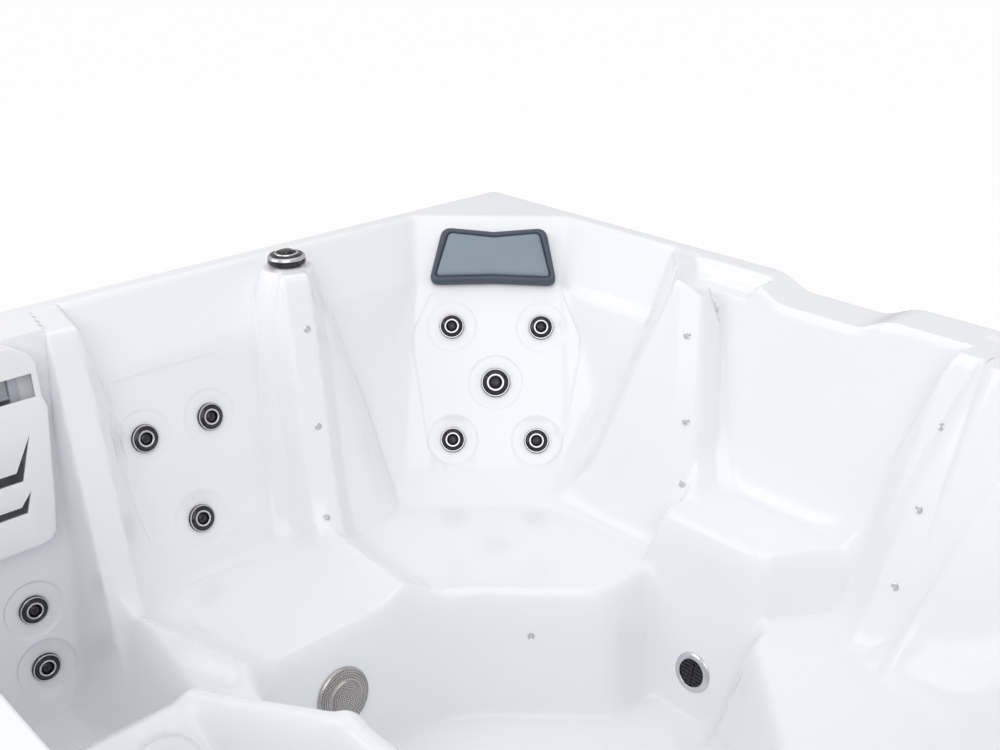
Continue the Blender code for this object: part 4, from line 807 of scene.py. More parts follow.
def ring_points(spot, radius, count):
    """Points in plan of a circle that lies in a spot's plane."""
    frame = spot.frame().to_3x3()
    offsets = [frame @ Vector((x, y, 0)) for x, y in circle(1.0, count)]
    return [(spot.x + offset.x * radius, spot.y + offset.y * radius) for offset in offsets]


def upright(matrix_x, matrix_y, matrix_z, origin):
    """Placing matrix from three axes and an origin."""
    rows = Matrix((matrix_x, matrix_y, matrix_z)).transposed().to_4x4()
    return Matrix.Translation(origin) @ rows


def bow_tie_corners(inset):
    """Corners of the pillow's outline, drawn in by an inset."""
    tall = pillow_height / 2
    corners = (
        (-pillow_bottom_half + inset, -tall + inset), (0, -tall + pillow_bottom_rise + inset),
        (pillow_bottom_half - inset, -tall + inset), (pillow_top_half - inset, tall - inset),
        (0, tall - pillow_top_dip - inset), (-pillow_top_half + inset, tall - inset))
    return [Vector((x, y, 0)) for x, y in corners]


def bow_tie(inset):
    """Pillow outline with rounded corners, drawn in by an inset."""
    corners = bow_tie_corners(inset)
    round_run = max(pillow_round - inset, pillow_round * least_round_share)
    outline = []
    for index, corner in enumerate(corners):
        before = corners[index - 1]
        after = corners[(index + 1) % len(corners)]
        run = round_run if corner.x else 0
        start = corner + (before - corner).normalized() * run
        end = corner + (after - corner).normalized() * run
        steps = pillow_arc_steps if run else 0
        for step in range(steps + 1):
            share = step / max(steps, 1)
            outline.append(start.lerp(corner, share).lerp(corner.lerp(end, share), share).to_2d())
    return outline


def pillow_frames():
    """Placing matrices of the two pillows, each square to its fascia."""
    lean = math.radians(fascia_angle)
    across = Vector((1, -1, 0)).normalized()
    outward = Vector((1, 1, 0)).normalized()
    corner = outward * (half_side * root_two - corner_flat_depth) + across * pillow_shift
    frames = []
    for name, along, inward, start in (
            ("corner", across, Vector((-1, -1, 0)).normalized(), corner),
            ("lounger", Vector((-1, 0, 0)), Vector((0, 1, 0)), Vector((lounger_axis_x, -lip_inner, 0)))):
        up = Vector((0, 0, math.sin(lean))) - inward * math.cos(lean)
        centre = start + inward * pillow_inward
        centre.z = rim_height - pillow_inward * slope(fascia_angle)
        frames.append((name, upright(along, up, along.cross(up), centre)))
    return frames


def skimmer_frame():
    """Origin where the foot wall meets the rim, X along the wall, Y behind it, Z up the wall."""
    lean = math.radians(foot_wall_angle)
    along = Vector((1, 0, 0))
    up = Vector((0, math.cos(lean), math.sin(lean)))
    top = Vector((skimmer_x, lip_inner - skimmer_deck, rim_height))
    return upright(along, up.cross(along), up, top)


def jet_spots():
    """Every jet's set, its place on the shell and its trim radius."""
    return [(group, Spot(place[0], place[1], radius + jet_flat_margin, jet_recess), radius)
            for group, place, radius in jet_table()]


def light_spots():
    """Every light point's string and its place on the shell."""
    return [(group, Spot(x, y, light_radius + jet_flat_blend / 2, 0))
            for group, places in light_places.items() for x, y in places]


def cup_end(spot, length):
    """Point behind the shell on a jet's axis."""
    return spot.point - spot.normal * (sheet + seam_gap + length)


def panel_places():
    """Each jet panel: the middle of its wall's top in plan, the way inward, its wall's angle and outline."""
    reach = half_side - corner_flat_depth / 2
    shift = corner_shift / root_two
    south_shift = south_east_shift / root_two
    return (
        (Vector((reach + shift, reach - shift)), Vector((-1, -1)) / root_two, corner_wall_angle,
         panel_outline),
        (Vector((0, lip_inner)), Vector((0, -1)), side_wall_angle, side_panel_outline),
        (Vector((0, -lip_inner)), Vector((0, 1)), side_wall_angle, side_panel_outline),
        (Vector((reach + south_shift, south_shift - reach)), Vector((-1, 1)) / root_two, corner_wall_angle,
         panel_outline))


def smooth_step(share):
    """Eased share from 0 to 1, level at both ends."""
    share = numpy.clip(share, 0, 1)
    return share * share * (3 - 2 * share)


def pressed_depth(x, y, depth, spots, sizes):
    """How far a place on the plain moulding is pressed in, square to it, by jet panels and jet flats."""
    result = 0 * x
    for start, inward, angle, outline in panel_places():
        across = numpy.abs((x - start.x) * inward.y - (y - start.y) * inward.x)
        steep = math.sin(math.radians(angle))
        inside = (depth - outline[0][1]) / steep
        for (wide, high), (next_wide, low) in zip(outline, outline[1:]):
            run = Vector((next_wide - wide, (low - high) / steep)).normalized()
            inside = numpy.minimum(inside, (depth - high) / steep * run.x - (across - wide) * run.y)
        ahead = (x - start.x) * inward.x + (y - start.y) * inward.y < search_reach
        result = numpy.maximum(result, smooth_step(inside / sizes.panel_edge) * ahead * sizes.panel_recess)
    for spot in spots:
        if not spot.recess:
            continue
        away = numpy.sqrt(
            (x - spot.seat.x) ** 2 + (y - spot.seat.y) ** 2 + (rim_height - depth - spot.seat.z) ** 2)
        share = smooth_step((spot.radius + jet_flat_blend - away) / jet_flat_blend)
        result = result * (1 - share) + spot.recess * share
    return result


def moulding_spots():
    """Every fitting's place with its recess, its hole and the place on the plain moulding above it."""
    fittings = fitting_table()
    rows = [(spot, jet_recess, jet_barrel_radius) for _, spot, _ in jet_spots()]
    rows += [(spot, 0.0, light_barrel_radius) for _, spot in light_spots()]
    rows += [(fittings[name], 0.0, barrel) for name, barrel in (
        ("suction", fitting_barrel_radius), ("drain", fitting_barrel_radius),
        ("footwell_light", light_barrel_radius), ("knob", valve_neck_radius))]
    for spot, recess, barrel in rows:
        spot.recess = recess
        spot.hole = barrel + hole_clearance
        spot.seat = spot.point + spot.normal * recess
    return [row[0] for row in rows]


def ring_in_plan(spot, radius, count):
    """Circle round a fitting's place on the plain moulding, seen in plan."""
    shift = spot.seat - spot.point
    return [(x + shift.x, y + shift.y) for x, y in ring_points(spot, radius, count)]


def edge_inward(x, y, sizes):
    """Distance inward from the rim's outline, whose corners are rounded."""
    over_x = numpy.abs(x) - half_side + sizes.corner_round
    over_y = numpy.abs(y) - half_side + sizes.corner_round
    outside = numpy.hypot(numpy.clip(over_x, 0, None), numpy.clip(over_y, 0, None))
    return sizes.corner_round - outside - numpy.minimum(numpy.maximum(over_x, over_y), 0)


def eased_depth(x, y, sizes):
    """Depth of the plain moulding with the rim's outer edge rounded."""
    inward = numpy.clip(edge_inward(x, y, sizes), 0, sizes.edge_round)
    return plain_depth(x, y) + sizes.edge_round - numpy.sqrt(
        sizes.edge_round ** 2 - (sizes.edge_round - inward) ** 2)


def moulded_face(plan, spots, sizes):
    """Places and unit normals of the finished upper face over points in plan."""
    x, y = plan[:, 0], plan[:, 1]
    step = sizes.fine_step * probe_share
    depth = eased_depth(x, y, sizes)
    fall_x = (eased_depth(x + step, y, sizes) - eased_depth(x - step, y, sizes)) / (2 * step)
    fall_y = (eased_depth(x, y + step, sizes) - eased_depth(x, y - step, sizes)) / (2 * step)
    normals = numpy.stack((fall_x, fall_y, 1 + 0 * x), axis=1)
    normals /= numpy.linalg.norm(normals, axis=1)[:, None]
    pressed = pressed_depth(x, y, depth, spots, sizes)
    places = numpy.stack((x, y, rim_height - depth), axis=1) - normals * pressed[:, None]
    rise = []
    for move_x, move_y, deeper in ((step, 0, 0), (0, step, 0), (0, 0, -step)):
        ahead = pressed_depth(x + move_x, y + move_y, depth + deeper, spots, sizes)
        behind = pressed_depth(x - move_x, y - move_y, depth - deeper, spots, sizes)
        rise.append(ahead - behind)
    rise = numpy.stack(rise, axis=1) / (2 * step)
    normals = normals + rise - normals * (rise * normals).sum(axis=1)[:, None]
    normals /= numpy.linalg.norm(normals, axis=1)[:, None]
    for spot in spots:
        lift = (numpy.array(spot.point) - places) @ numpy.array(spot.normal)
        away = numpy.linalg.norm(places - numpy.array(spot.point), axis=1)
        seat = spot.hole * sizes.seat_share
        share = smooth_step((seat - away) / (spot.hole * (sizes.seat_share - 1)) * 2)
        places = places + (lift * share)[:, None] * numpy.array(spot.normal)
    return places, normals


def rim_loop(inset, sizes):
    """Points of the rim's outline drawn in by an inset, counter-clockwise from the south west corner."""
    reach = half_side - sizes.corner_round
    runs = round(2 * reach / sizes.rim_step)
    radius = max(sizes.corner_round - inset, 0.0)
    quarter_loop = [Vector((-reach + 2 * reach * index / runs, inset - half_side)) for index in range(runs)]
    for index in range(sizes.corner_steps):
        angle = math.pi / 2 * (index / sizes.corner_steps - 1)
        quarter_loop.append(Vector((reach + radius * math.cos(angle), -reach + radius * math.sin(angle))))
    turns = [Matrix.Rotation(math.pi / 2 * quarter, 2) for quarter in range(4)]
    return [turn @ point for turn in turns for point in quarter_loop]


def nested_places(tolerance, levels, sizes):
    """Plan points on nested grids, closer together where the moulding bends."""
    finest = sizes.fine_step
    count = round(tub_side / finest)
    line = numpy.linspace(-half_side, half_side, count + 1)
    x, y = numpy.meshgrid(line, line)
    depth = plain_depth(x, y)
    fall_y, fall_x = numpy.gradient(depth, finest)
    bend_xy, bend_xx = numpy.gradient(fall_x, finest)
    bend_yy = numpy.gradient(fall_y, finest)[0]
    bend = numpy.sqrt(bend_xx ** 2 + 2 * bend_xy ** 2 + bend_yy ** 2)
    bend /= numpy.sqrt(1 + fall_x ** 2 + fall_y ** 2)
    # A straight run of length c strays from a curve of this bend by bend * c * c / 8
    wanted = numpy.sqrt(8 * tolerance / numpy.maximum(bend, tolerance))[:-1, :-1]
    keep = numpy.zeros(x.shape, dtype=bool)
    for level in range(*levels):
        step = 2 ** level
        block = 2 * step
        cells = count // block
        need = wanted.reshape(cells, block, cells, block).min(axis=(1, 3)) < finest * block
        if level:
            grown = need.copy()
            grown[1:] |= need[:-1]
            grown[:-1] |= need[1:]
            grown[:, 1:] |= need[:, :-1]
            grown[:, :-1] |= need[:, 1:]
            need = grown
        wide = numpy.repeat(numpy.repeat(need, block, axis=0), block, axis=1)
        keep[:-1:step, :-1:step] |= wide[::step, ::step]
    coarse = 2 ** levels[1]
    keep[::coarse, ::coarse] = True
    return numpy.stack((x[keep], y[keep]), axis=1)


def panel_lines(sizes):
    """Lines in plan along the eased edges of the jet panels."""
    lines = []
    for start, inward, angle, outline in panel_places():
        steep = math.sin(math.radians(angle))
        right = [(wide, -depth / steep) for wide, depth in outline]
        corners = [(-wide, low) for wide, low in right[:-1]] + [right[-1]] + right[-2::-1]
        for share in sizes.blend_shares:
            points = []
            for first, second in closed_pairs(drawn_in(corners, sizes.panel_edge * share)):
                pieces = max(round(math.dist(first, second) / sizes.panel_spacing), 1)
                points += [(first[0] + (second[0] - first[0]) * index / pieces,
                            first[1] + (second[1] - first[1]) * index / pieces) for index in range(pieces)]
            across, low = numpy.array(points).T
            lines.append(list(zip(*walked_in(
                start.x - across * inward.y, start.y + across * inward.x, inward, -low * steep))))
    return lines


def skimmer_hole():
    """Outline in plan of the skimmer's opening, counter-clockwise."""
    side = bucket_half + hole_clearance
    wall = skimmer_frame()
    corners = [wall @ Vector((x, 0, z)) for x, z in (
        (-side, -bucket_bottom - hole_clearance), (side, -bucket_bottom - hole_clearance),
        (side, hole_clearance - bucket_top), (-side, hole_clearance - bucket_top))]
    return [(corner.x, corner.y) for corner in corners]


def drawn_in(outline, inset):
    """A convex counter-clockwise outline with every edge moved inward."""
    points = [Vector(point) for point in outline]
    result = []
    for before, point, after in zip(points[-1:] + points[:-1], points, points[1:] + points[:1]):
        first = (point - before).normalized()
        second = (after - point).normalized()
        both = Vector((-first.y - second.y, first.x + second.x))
        result.append(tuple(point + both * (inset / both.dot(Vector((-first.y, first.x))))))
    return result


def inside_outline(points, outline):
    """Which points lie inside a counter-clockwise convex outline."""
    inside = numpy.ones(len(points), dtype=bool)
    for (ax, ay), (bx, by) in closed_pairs(outline):
        inside &= (bx - ax) * (points[:, 1] - ay) - (by - ay) * (points[:, 0] - ax) > 0
    return inside


def net_of(places, closed_lines, holes):
    """Triangles between places, with every closed line kept as edges and the holes left open."""
    places = [Vector(place) for place in places]
    rows = []
    edges = []
    for line in closed_lines:
        rows.append(list(range(len(places), len(places) + len(line))))
        places += [Vector(point) for point in line]
        edges += closed_pairs(rows[-1])
    points, _, triangles, sources, _, _ = delaunay_2d_cdt(places, edges, [], 0, tiny_gap)
    place_of = {origin: index for index, origins in enumerate(sources) for origin in origins}
    loops = [[place_of[number] for number in row] for row in rows]
    points = numpy.array([tuple(point) for point in points])
    triangles = numpy.array(triangles)
    centres = points[triangles].mean(axis=1)
    keep = numpy.ones(len(triangles), dtype=bool)
    for hole in holes:
        keep &= ~inside_outline(centres, hole)
    return points, triangles[keep], loops


def without_slivers(triangles, rim):
    """Triangles without those that lie on the outline alone."""
    return triangles[~numpy.isin(triangles, rim).all(axis=1)]


def fitting_lines(spots, sizes):
    """Outlines in plan of every hole, and of the flats and level seats round the fittings."""
    holes = []
    flats = []
    for spot in spots:
        sides = sizes.light_hole_sides if spot.hole < jet_barrel_radius / 2 else sizes.hole_sides
        holes.append(ring_in_plan(spot, spot.hole, sides))
        if spot.recess:
            flats += [ring_in_plan(spot, spot.radius + jet_flat_blend * share, sizes.ring_sides)
                      for share in sizes.blend_shares]
        flats.append(ring_in_plan(spot, spot.hole * sizes.seat_share, sides))
    return holes + [skimmer_hole()], flats


def clear_places(places, spots, reaches, inward, sizes):
    """Those places that are far enough inside the rim and outside each fitting's reach."""
    clear = edge_inward(places[:, 0], places[:, 1], sizes) > inward
    for spot, reach in zip(spots, reaches):
        shift = spot.seat - spot.point
        clear &= spot.distance(places[:, 0] - shift.x, places[:, 1] - shift.y) > reach
    return places[clear]


def upper_net(spots, sizes):
    """Net of the upper face: its places, triangles and loops, the rims' loops first and then the holes'."""
    holes, flats = fitting_lines(spots, sizes)
    margin = sizes.fine_step / 2
    reaches = [(spot.radius + jet_flat_blend if spot.recess else spot.hole * sizes.seat_share) + margin
               for spot in spots]
    places = clear_places(nested_places(sizes.fine_tolerance, upper_levels, sizes), spots, reaches,
                          sizes.edge_round + margin, sizes)
    rims = [rim_loop(sizes.edge_round * (1 - math.cos(math.pi / 2 * index / sizes.edge_steps)), sizes)
            for index in range(sizes.edge_steps + 1)]
    return net_of(places, rims + holes + flats + panel_lines(sizes), holes)


def under_net(spots, sizes):
    """Plainer net of the underside: its places, triangles and loops, the rim's first and then the holes'."""
    holes, _ = fitting_lines(spots, sizes)
    reaches = [spot.hole + sizes.fine_step for spot in spots]
    places = clear_places(nested_places(sizes.under_tolerance, under_levels, sizes), spots, reaches,
                          sheet + sizes.rim_step, sizes)
    return net_of(places, [rim_loop(sheet, sizes)] + holes, holes)


def make_shell_mesh(sizes):
    """The moulded sheet: finished upper face, plainer underside, holes and hanging skirt."""
    spots = moulding_spots()
    plan, triangles, loops = upper_net(spots, sizes)
    rim = loops[0]
    triangles = without_slivers(triangles, rim)
    top, top_normals = moulded_face(plan, spots, sizes)

    plan, under_triangles, under_loops = under_net(spots, sizes)
    under_triangles = without_slivers(under_triangles, under_loops[0])[:, ::-1]
    under, under_normals = moulded_face(plan, spots, sizes)
    under_normals[under_loops[0]] = (0, 0, 1)
    under = under - sheet * under_normals

    outer = top[rim].copy()
    inner = under[under_loops[0]].copy()
    outer[:, 2] = rim_height - skirt_drop
    inner[:, 2] = rim_height - skirt_drop
    corners = numpy.concatenate((top, under, outer, inner))
    under_loops = [[len(top) + index for index in loop] for loop in under_loops]
    outer_row = list(range(len(top) + len(under), len(corners) - len(inner)))
    inner_row = list(range(len(corners) - len(inner), len(corners)))
    walls = []
    skirt = zip(
        closed_pairs(rim), closed_pairs(outer_row), closed_pairs(inner_row), closed_pairs(under_loops[0]))
    for (top_a, top_b), (outer_a, outer_b), (inner_a, inner_b), (under_a, under_b) in skirt:
        walls.append((outer_a, outer_b, top_b, top_a))
        walls.append((outer_a, inner_a, inner_b, outer_b))
        walls.append((inner_b, inner_a, under_a, under_b))
    for upper, lower in zip(loops[sizes.edge_steps + 1:], under_loops[1:]):
        for (top_a, top_b), (under_a, under_b) in zip(closed_pairs(upper), closed_pairs(lower)):
            walls.append((top_a, top_b, under_b, under_a))

    faces = triangles.tolist() + (under_triangles + len(top)).tolist() + walls
    normal_rows = [top_normals[triangles.ravel()], -under_normals[under_triangles.ravel()]]
    for face in walls:
        points = corners[list(face)]
        across = numpy.cross(points[2] - points[0], points[3] - points[1])
        normal_rows.append(numpy.tile(across / numpy.linalg.norm(across), (4, 1)))
    mesh = bpy.data.meshes.new("tub_shell")
    mesh.from_pydata(corners.tolist(), [], faces)
    mesh.shade_smooth()
    mesh.normals_split_custom_set(numpy.concatenate(normal_rows).tolist())
    return mesh


class TubShellSettings(bpy.types.PropertyGroup):
    """Fineness and small roundings of the moulded shell."""

    fine_step: FloatProperty(
        name="Fine step", description="Closest spacing of the upper face's grid",
        default=0.0025, min=0.001, unit="LENGTH", subtype="DISTANCE")
    fine_tolerance: FloatProperty(
        name="Fine tolerance", description="Furthest the upper face may stray from the moulding",
        default=0.00068, min=0.00005, unit="LENGTH", subtype="DISTANCE")
    under_tolerance: FloatProperty(
        name="Underside tolerance", description="Furthest the underside may stray from the moulding",
        default=0.006, min=0.0001, unit="LENGTH", subtype="DISTANCE")
    edge_round: FloatProperty(
        name="Edge round", description="Radius of the rim's outer edge",
        default=0.006, min=0.001, unit="LENGTH", subtype="DISTANCE")
    edge_steps: IntProperty(
        name="Edge steps", description="Steps round the rim's outer edge", default=4, min=2)
    corner_round: FloatProperty(
        name="Corner round", description="Radius of the rim's corners in plan",
        default=0.015, min=0.007, unit="LENGTH", subtype="DISTANCE")
    corner_steps: IntProperty(
        name="Corner steps", description="Steps round each rim corner", default=8, min=2)
    rim_step: FloatProperty(
        name="Rim step", description="Spacing of points along the rim",
        default=0.01, min=0.004, unit="LENGTH", subtype="DISTANCE")
    panel_recess: FloatProperty(
        name="Panel recess", description="How deep the jet panels are pressed into the seat backs",
        default=0.0022, min=0.0, unit="LENGTH", subtype="DISTANCE")
    panel_edge: FloatProperty(
        name="Panel edge", description="Run over which a jet panel's edge is eased",
        default=0.009, min=0.002, unit="LENGTH", subtype="DISTANCE")
    ring_sides: IntProperty(name="Ring sides", description="Sides of the round flats", default=64, min=12)
    hole_sides: IntProperty(name="Hole sides", description="Sides of the jet holes", default=32, min=8)
    light_hole_sides: IntProperty(
        name="Light hole sides", description="Sides of the light holes", default=20, min=8)
    seat_share: FloatProperty(
        name="Seat share", description="Reach of the level seat round a hole, in hole radii",
        default=1.35, min=1.1)
    panel_spacing: FloatProperty(
        name="Panel spacing", description="Spacing of points along the jet panels' edges",
        default=0.006, min=0.002, unit="LENGTH", subtype="DISTANCE")
    blend_steps: IntProperty(
        name="Blend steps", description="Steps over each flat's eased edge", default=3, min=1)

    @property
    def blend_shares(self):
        return [index / self.blend_steps for index in range(self.blend_steps + 1)]


class TubColourSettings(bpy.types.PropertyGroup):
    """Colours of the finished surfaces, in linear values."""

    acrylic: FloatVectorProperty(
        name="Acrylic", description="White acrylic of the shell and the skimmer's front", subtype="COLOR",
        size=3, min=0, max=1, default=linear_of("#EFF0F4"))
    slate: FloatVectorProperty(
        name="Slate", description="Foam skin of the pillow frames", subtype="COLOR", size=3, min=0, max=1,
        default=linear_of("#4A525F"))
    pad: FloatVectorProperty(
        name="Pad", description="Foam skin of the pillow pads", subtype="COLOR", size=3, min=0, max=1,
        default=linear_of("#84929E"))
    black: FloatVectorProperty(
        name="Black", description="Glossy black moulded plastic", subtype="COLOR", size=3, min=0, max=1,
        default=linear_of("#1B1C20"))
    silver: FloatVectorProperty(
        name="Silver", description="Satin silver plated trim", subtype="COLOR", size=3, min=0, max=1,
        default=linear_of("#D3D4D6"))
    steel: FloatVectorProperty(
        name="Steel", description="Warm grey stainless steel", subtype="COLOR", size=3, min=0, max=1,
        default=linear_of("#BDB8B4"))
    cabinet: FloatVectorProperty(
        name="Cabinet", description="Grey grained cabinet boards", subtype="COLOR", size=3, min=0, max=1,
        default=linear_of("#5B5D60"))


def clear_selection():
    """Leaves nothing selected."""
    bpy.ops.object.select_all(action="DESELECT")


def only(piece):
    """Makes a piece the one selected and active."""
    clear_selection()
    piece.select_set(True)
    bpy.context.view_layer.objects.active = piece


def new_piece(name, mesh):
    """A piece with a mesh of its own, linked to the scene."""
    piece = bpy.data.objects.new(name, mesh)
    bpy.context.scene.collection.objects.link(piece)
    return piece


def shaped(piece, kind, **settings):
    """Adds a modifier to a piece and applies it."""
    only(piece)
    step = piece.modifiers.new(kind.lower(), kind)
    for name, value in settings.items():
        setattr(step, name, value)
    bpy.ops.object.modifier_apply(modifier=step.name)
    return piece


def eased(piece, width, segments=2, angle=bevel_angle):
    """Bevels the edges of a piece that are sharper than an angle."""
    return shaped(piece, "BEVEL", width=width, segments=segments, limit_method="ANGLE", angle_limit=angle)


def settled(piece, matrix):
    """Puts a piece in its place with its object at the origin."""
    piece.matrix_world = matrix
    only(piece)
    bpy.ops.object.transform_apply(location=True, rotation=True, scale=True)
    return piece


def joined(name, pieces):
    """One piece out of several, under a name."""
    clear_selection()
    for piece in pieces:
        piece.select_set(True)
    bpy.context.view_layer.objects.active = pieces[0]
    if len(pieces) > 1:
        bpy.ops.object.join()
    pieces[0].name = name
    return pieces[0]


def smoothed(piece):
    """Smooth shading with its sharp edges kept."""
    only(piece)
    bpy.ops.object.shade_smooth_by_angle(angle=smooth_angle)
    return piece


def copied(piece, matrix):
    """A copy of a piece, put in its place."""
    return settled(new_piece(piece.name, piece.data.copy()), matrix)


def dropped(*pieces):
    """Removes pieces that were only tools or patterns."""
    for piece in pieces:
        bpy.data.objects.remove(piece)


def dressed(piece, nodes, body="tub"):
    """Hides the model's parts that a finished piece stands in for, and hangs the piece on the body that it
    rides on.
    """
    if nodes:
        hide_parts(*nodes)
    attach(piece, body)
    return piece


def lathed(name, bands, sides):
    """Body of revolution about Z through (radius, height, look) points, bottom up along its outer side."""
    bpy.ops.mesh.primitive_circle_add(vertices=sides, radius=bands[0][0], fill_type="NGON")
    piece = bpy.context.object
    piece.name = name
    bpy.ops.object.mode_set(mode="EDIT")
    bpy.ops.mesh.select_all(action="SELECT")
    bpy.ops.transform.translate(value=(0, 0, bands[0][1]))
    for (radius, height, _), (next_radius, next_height, _) in zip(bands, bands[1:]):
        share = next_radius / radius
        bpy.ops.mesh.extrude_region_move(TRANSFORM_OT_translate={"value": (0, 0, next_height - height)})
        bpy.ops.transform.resize(value=(share, share, 1), center_override=(0, 0, 0))
    bpy.ops.mesh.select_all(action="SELECT")
    bpy.ops.mesh.normals_make_consistent(inside=False)
    bpy.ops.object.mode_set(mode="OBJECT")
    looks = []
    for band in bands:
        if band[2] not in looks:
            looks.append(band[2])
            piece.data.materials.append(band[2])
    starts = numpy.array([band[:2] for band in bands[:-1]])
    runs = numpy.array([band[:2] for band in bands[1:]]) - starts
    flat = math.cos(math.pi / sides)
    for face in piece.data.polygons:
        place = numpy.array((face.center.xy.length / flat, face.center.z))
        share = ((place - starts) * runs).sum(axis=1) / (runs ** 2).sum(axis=1)
        near = starts + runs * numpy.clip(share, 0, 1)[:, None]
        best = int(numpy.hypot(*(near - place).T).argmin())
        face.material_index = looks.index(bands[best + 1][2])
    return smoothed(piece)


def rod(start, end, radius, look, sides=rod_sides):
    """Round rod between two points."""
    way = end - start
    bpy.ops.mesh.primitive_cylinder_add(vertices=sides, radius=radius, depth=way.length)
    piece = bpy.context.object
    piece.data.materials.append(look)
    turn = way.to_track_quat("Z", "Y").to_matrix().to_4x4()
    return smoothed(settled(piece, Matrix.Translation((start + end) / 2) @ turn))


def post(low, high, radius, look, y=0.0, sides=rod_sides):
    """Upright rod between two heights."""
    return rod(Vector((0, y, low)), Vector((0, y, high)), radius, look, sides)


def run_of_rods(path, radius, look):
    """Rods that follow a path, as cables and pipes behind the shell do."""
    return [rod(start, end, radius, look) for start, end in zip(path, path[1:])]


def lofted(name, rings, look, matrix):
    """Closed body through outlines of one count, each a list of points with a height of its own."""
    count = len(rings[0][0])
    corners = [(x, y, height) for outline, height in rings for x, y in outline]
    rows = [list(range(start, start + count)) for start in range(0, len(corners), count)]
    faces = [rows[0][::-1], rows[-1]]
    for low, high in zip(rows, rows[1:]):
        for (low_a, low_b), (high_a, high_b) in zip(closed_pairs(low), closed_pairs(high)):
            faces.append((low_a, low_b, high_b, high_a))
    mesh = bpy.data.meshes.new(name)
    mesh.from_pydata(corners, [], faces)
    mesh.materials.append(look)
    return smoothed(settled(new_piece(name, mesh), matrix))


def cuboid(name, low, high, look):
    """Box between two opposite corners."""
    low, high = Vector(low), Vector(high)
    bpy.ops.mesh.primitive_cube_add(size=1)
    piece = bpy.context.object
    piece.name = name
    piece.data.materials.append(look)
    return settled(piece, Matrix.Translation((low + high) / 2) @ Matrix.Diagonal((*(high - low), 1)))


def cut_by(piece, tools):
    """Cuts other pieces out of a piece."""
    for tool in tools:
        shaped(piece, "BOOLEAN", operation="DIFFERENCE", solver="EXACT", object=tool)
    dropped(*tools)
    return piece


def add_node(tree, kind, settings=(), links=()):
    """Adds a node, gives it its settings and joins its inputs to other nodes' outputs."""
    item = tree.nodes.new(kind)
    for name, value in settings:
        if isinstance(name, int) or name in item.inputs:
            item.inputs[name].default_value = value
        else:
            setattr(item, name, value)
    for name, source in links:
        tree.links.new(item.inputs[name], source)
    return item


def surface_look(name, colour, shade, patch, roughness, spread, grain, relief,
                 metallic=0.0, ior=1.5, stretch=(1, 1, 1), clear=0.0):
    """A procedural finish: patches of colour and gloss and a fine relief, both at real sizes in metres."""
    look = bpy.data.materials.new(name)
    look.use_nodes = True
    tree = look.node_tree
    tree.nodes.clear()
    place = add_node(tree, "ShaderNodeTexCoord")
    stretched = add_node(
        tree, "ShaderNodeMapping", (("Scale", stretch),), (("Vector", place.outputs["Object"]),))
    patches = add_node(
        tree, "ShaderNodeTexNoise",
        (("Scale", 1 / patch), ("Detail", patch_detail), ("Roughness", patch_falloff)),
        (("Vector", stretched.outputs[0]),))
    darker = [channel * shade for channel in colour]
    # A Mix node's colours are its sockets 6 and 7 in and 2 out
    mixed = add_node(
        tree, "ShaderNodeMix", (("data_type", "RGBA"), (6, (*colour, 1)), (7, (*darker, 1))),
        ((0, patches.outputs[0]),))
    gloss = add_node(
        tree, "ShaderNodeMapRange", (("To Min", roughness - spread), ("To Max", roughness + spread)),
        (("Value", patches.outputs[0]),))
    fine = add_node(
        tree, "ShaderNodeTexNoise",
        (("Scale", 1 / grain), ("Detail", grain_detail), ("Roughness", grain_falloff)),
        (("Vector", stretched.outputs[0]),))
    bump = add_node(
        tree, "ShaderNodeBump", (("Strength", 1.0), ("Distance", relief)), (("Height", fine.outputs[0]),))
    surface = add_node(
        tree, "ShaderNodeBsdfPrincipled",
        (("Metallic", metallic), ("IOR", ior), ("Transmission Weight", clear)),
        (("Base Color", mixed.outputs[2]), ("Roughness", gloss.outputs[0]), ("Normal", bump.outputs[0])))
    add_node(tree, "ShaderNodeOutputMaterial", (), (("Surface", surface.outputs[0]),))
    return look


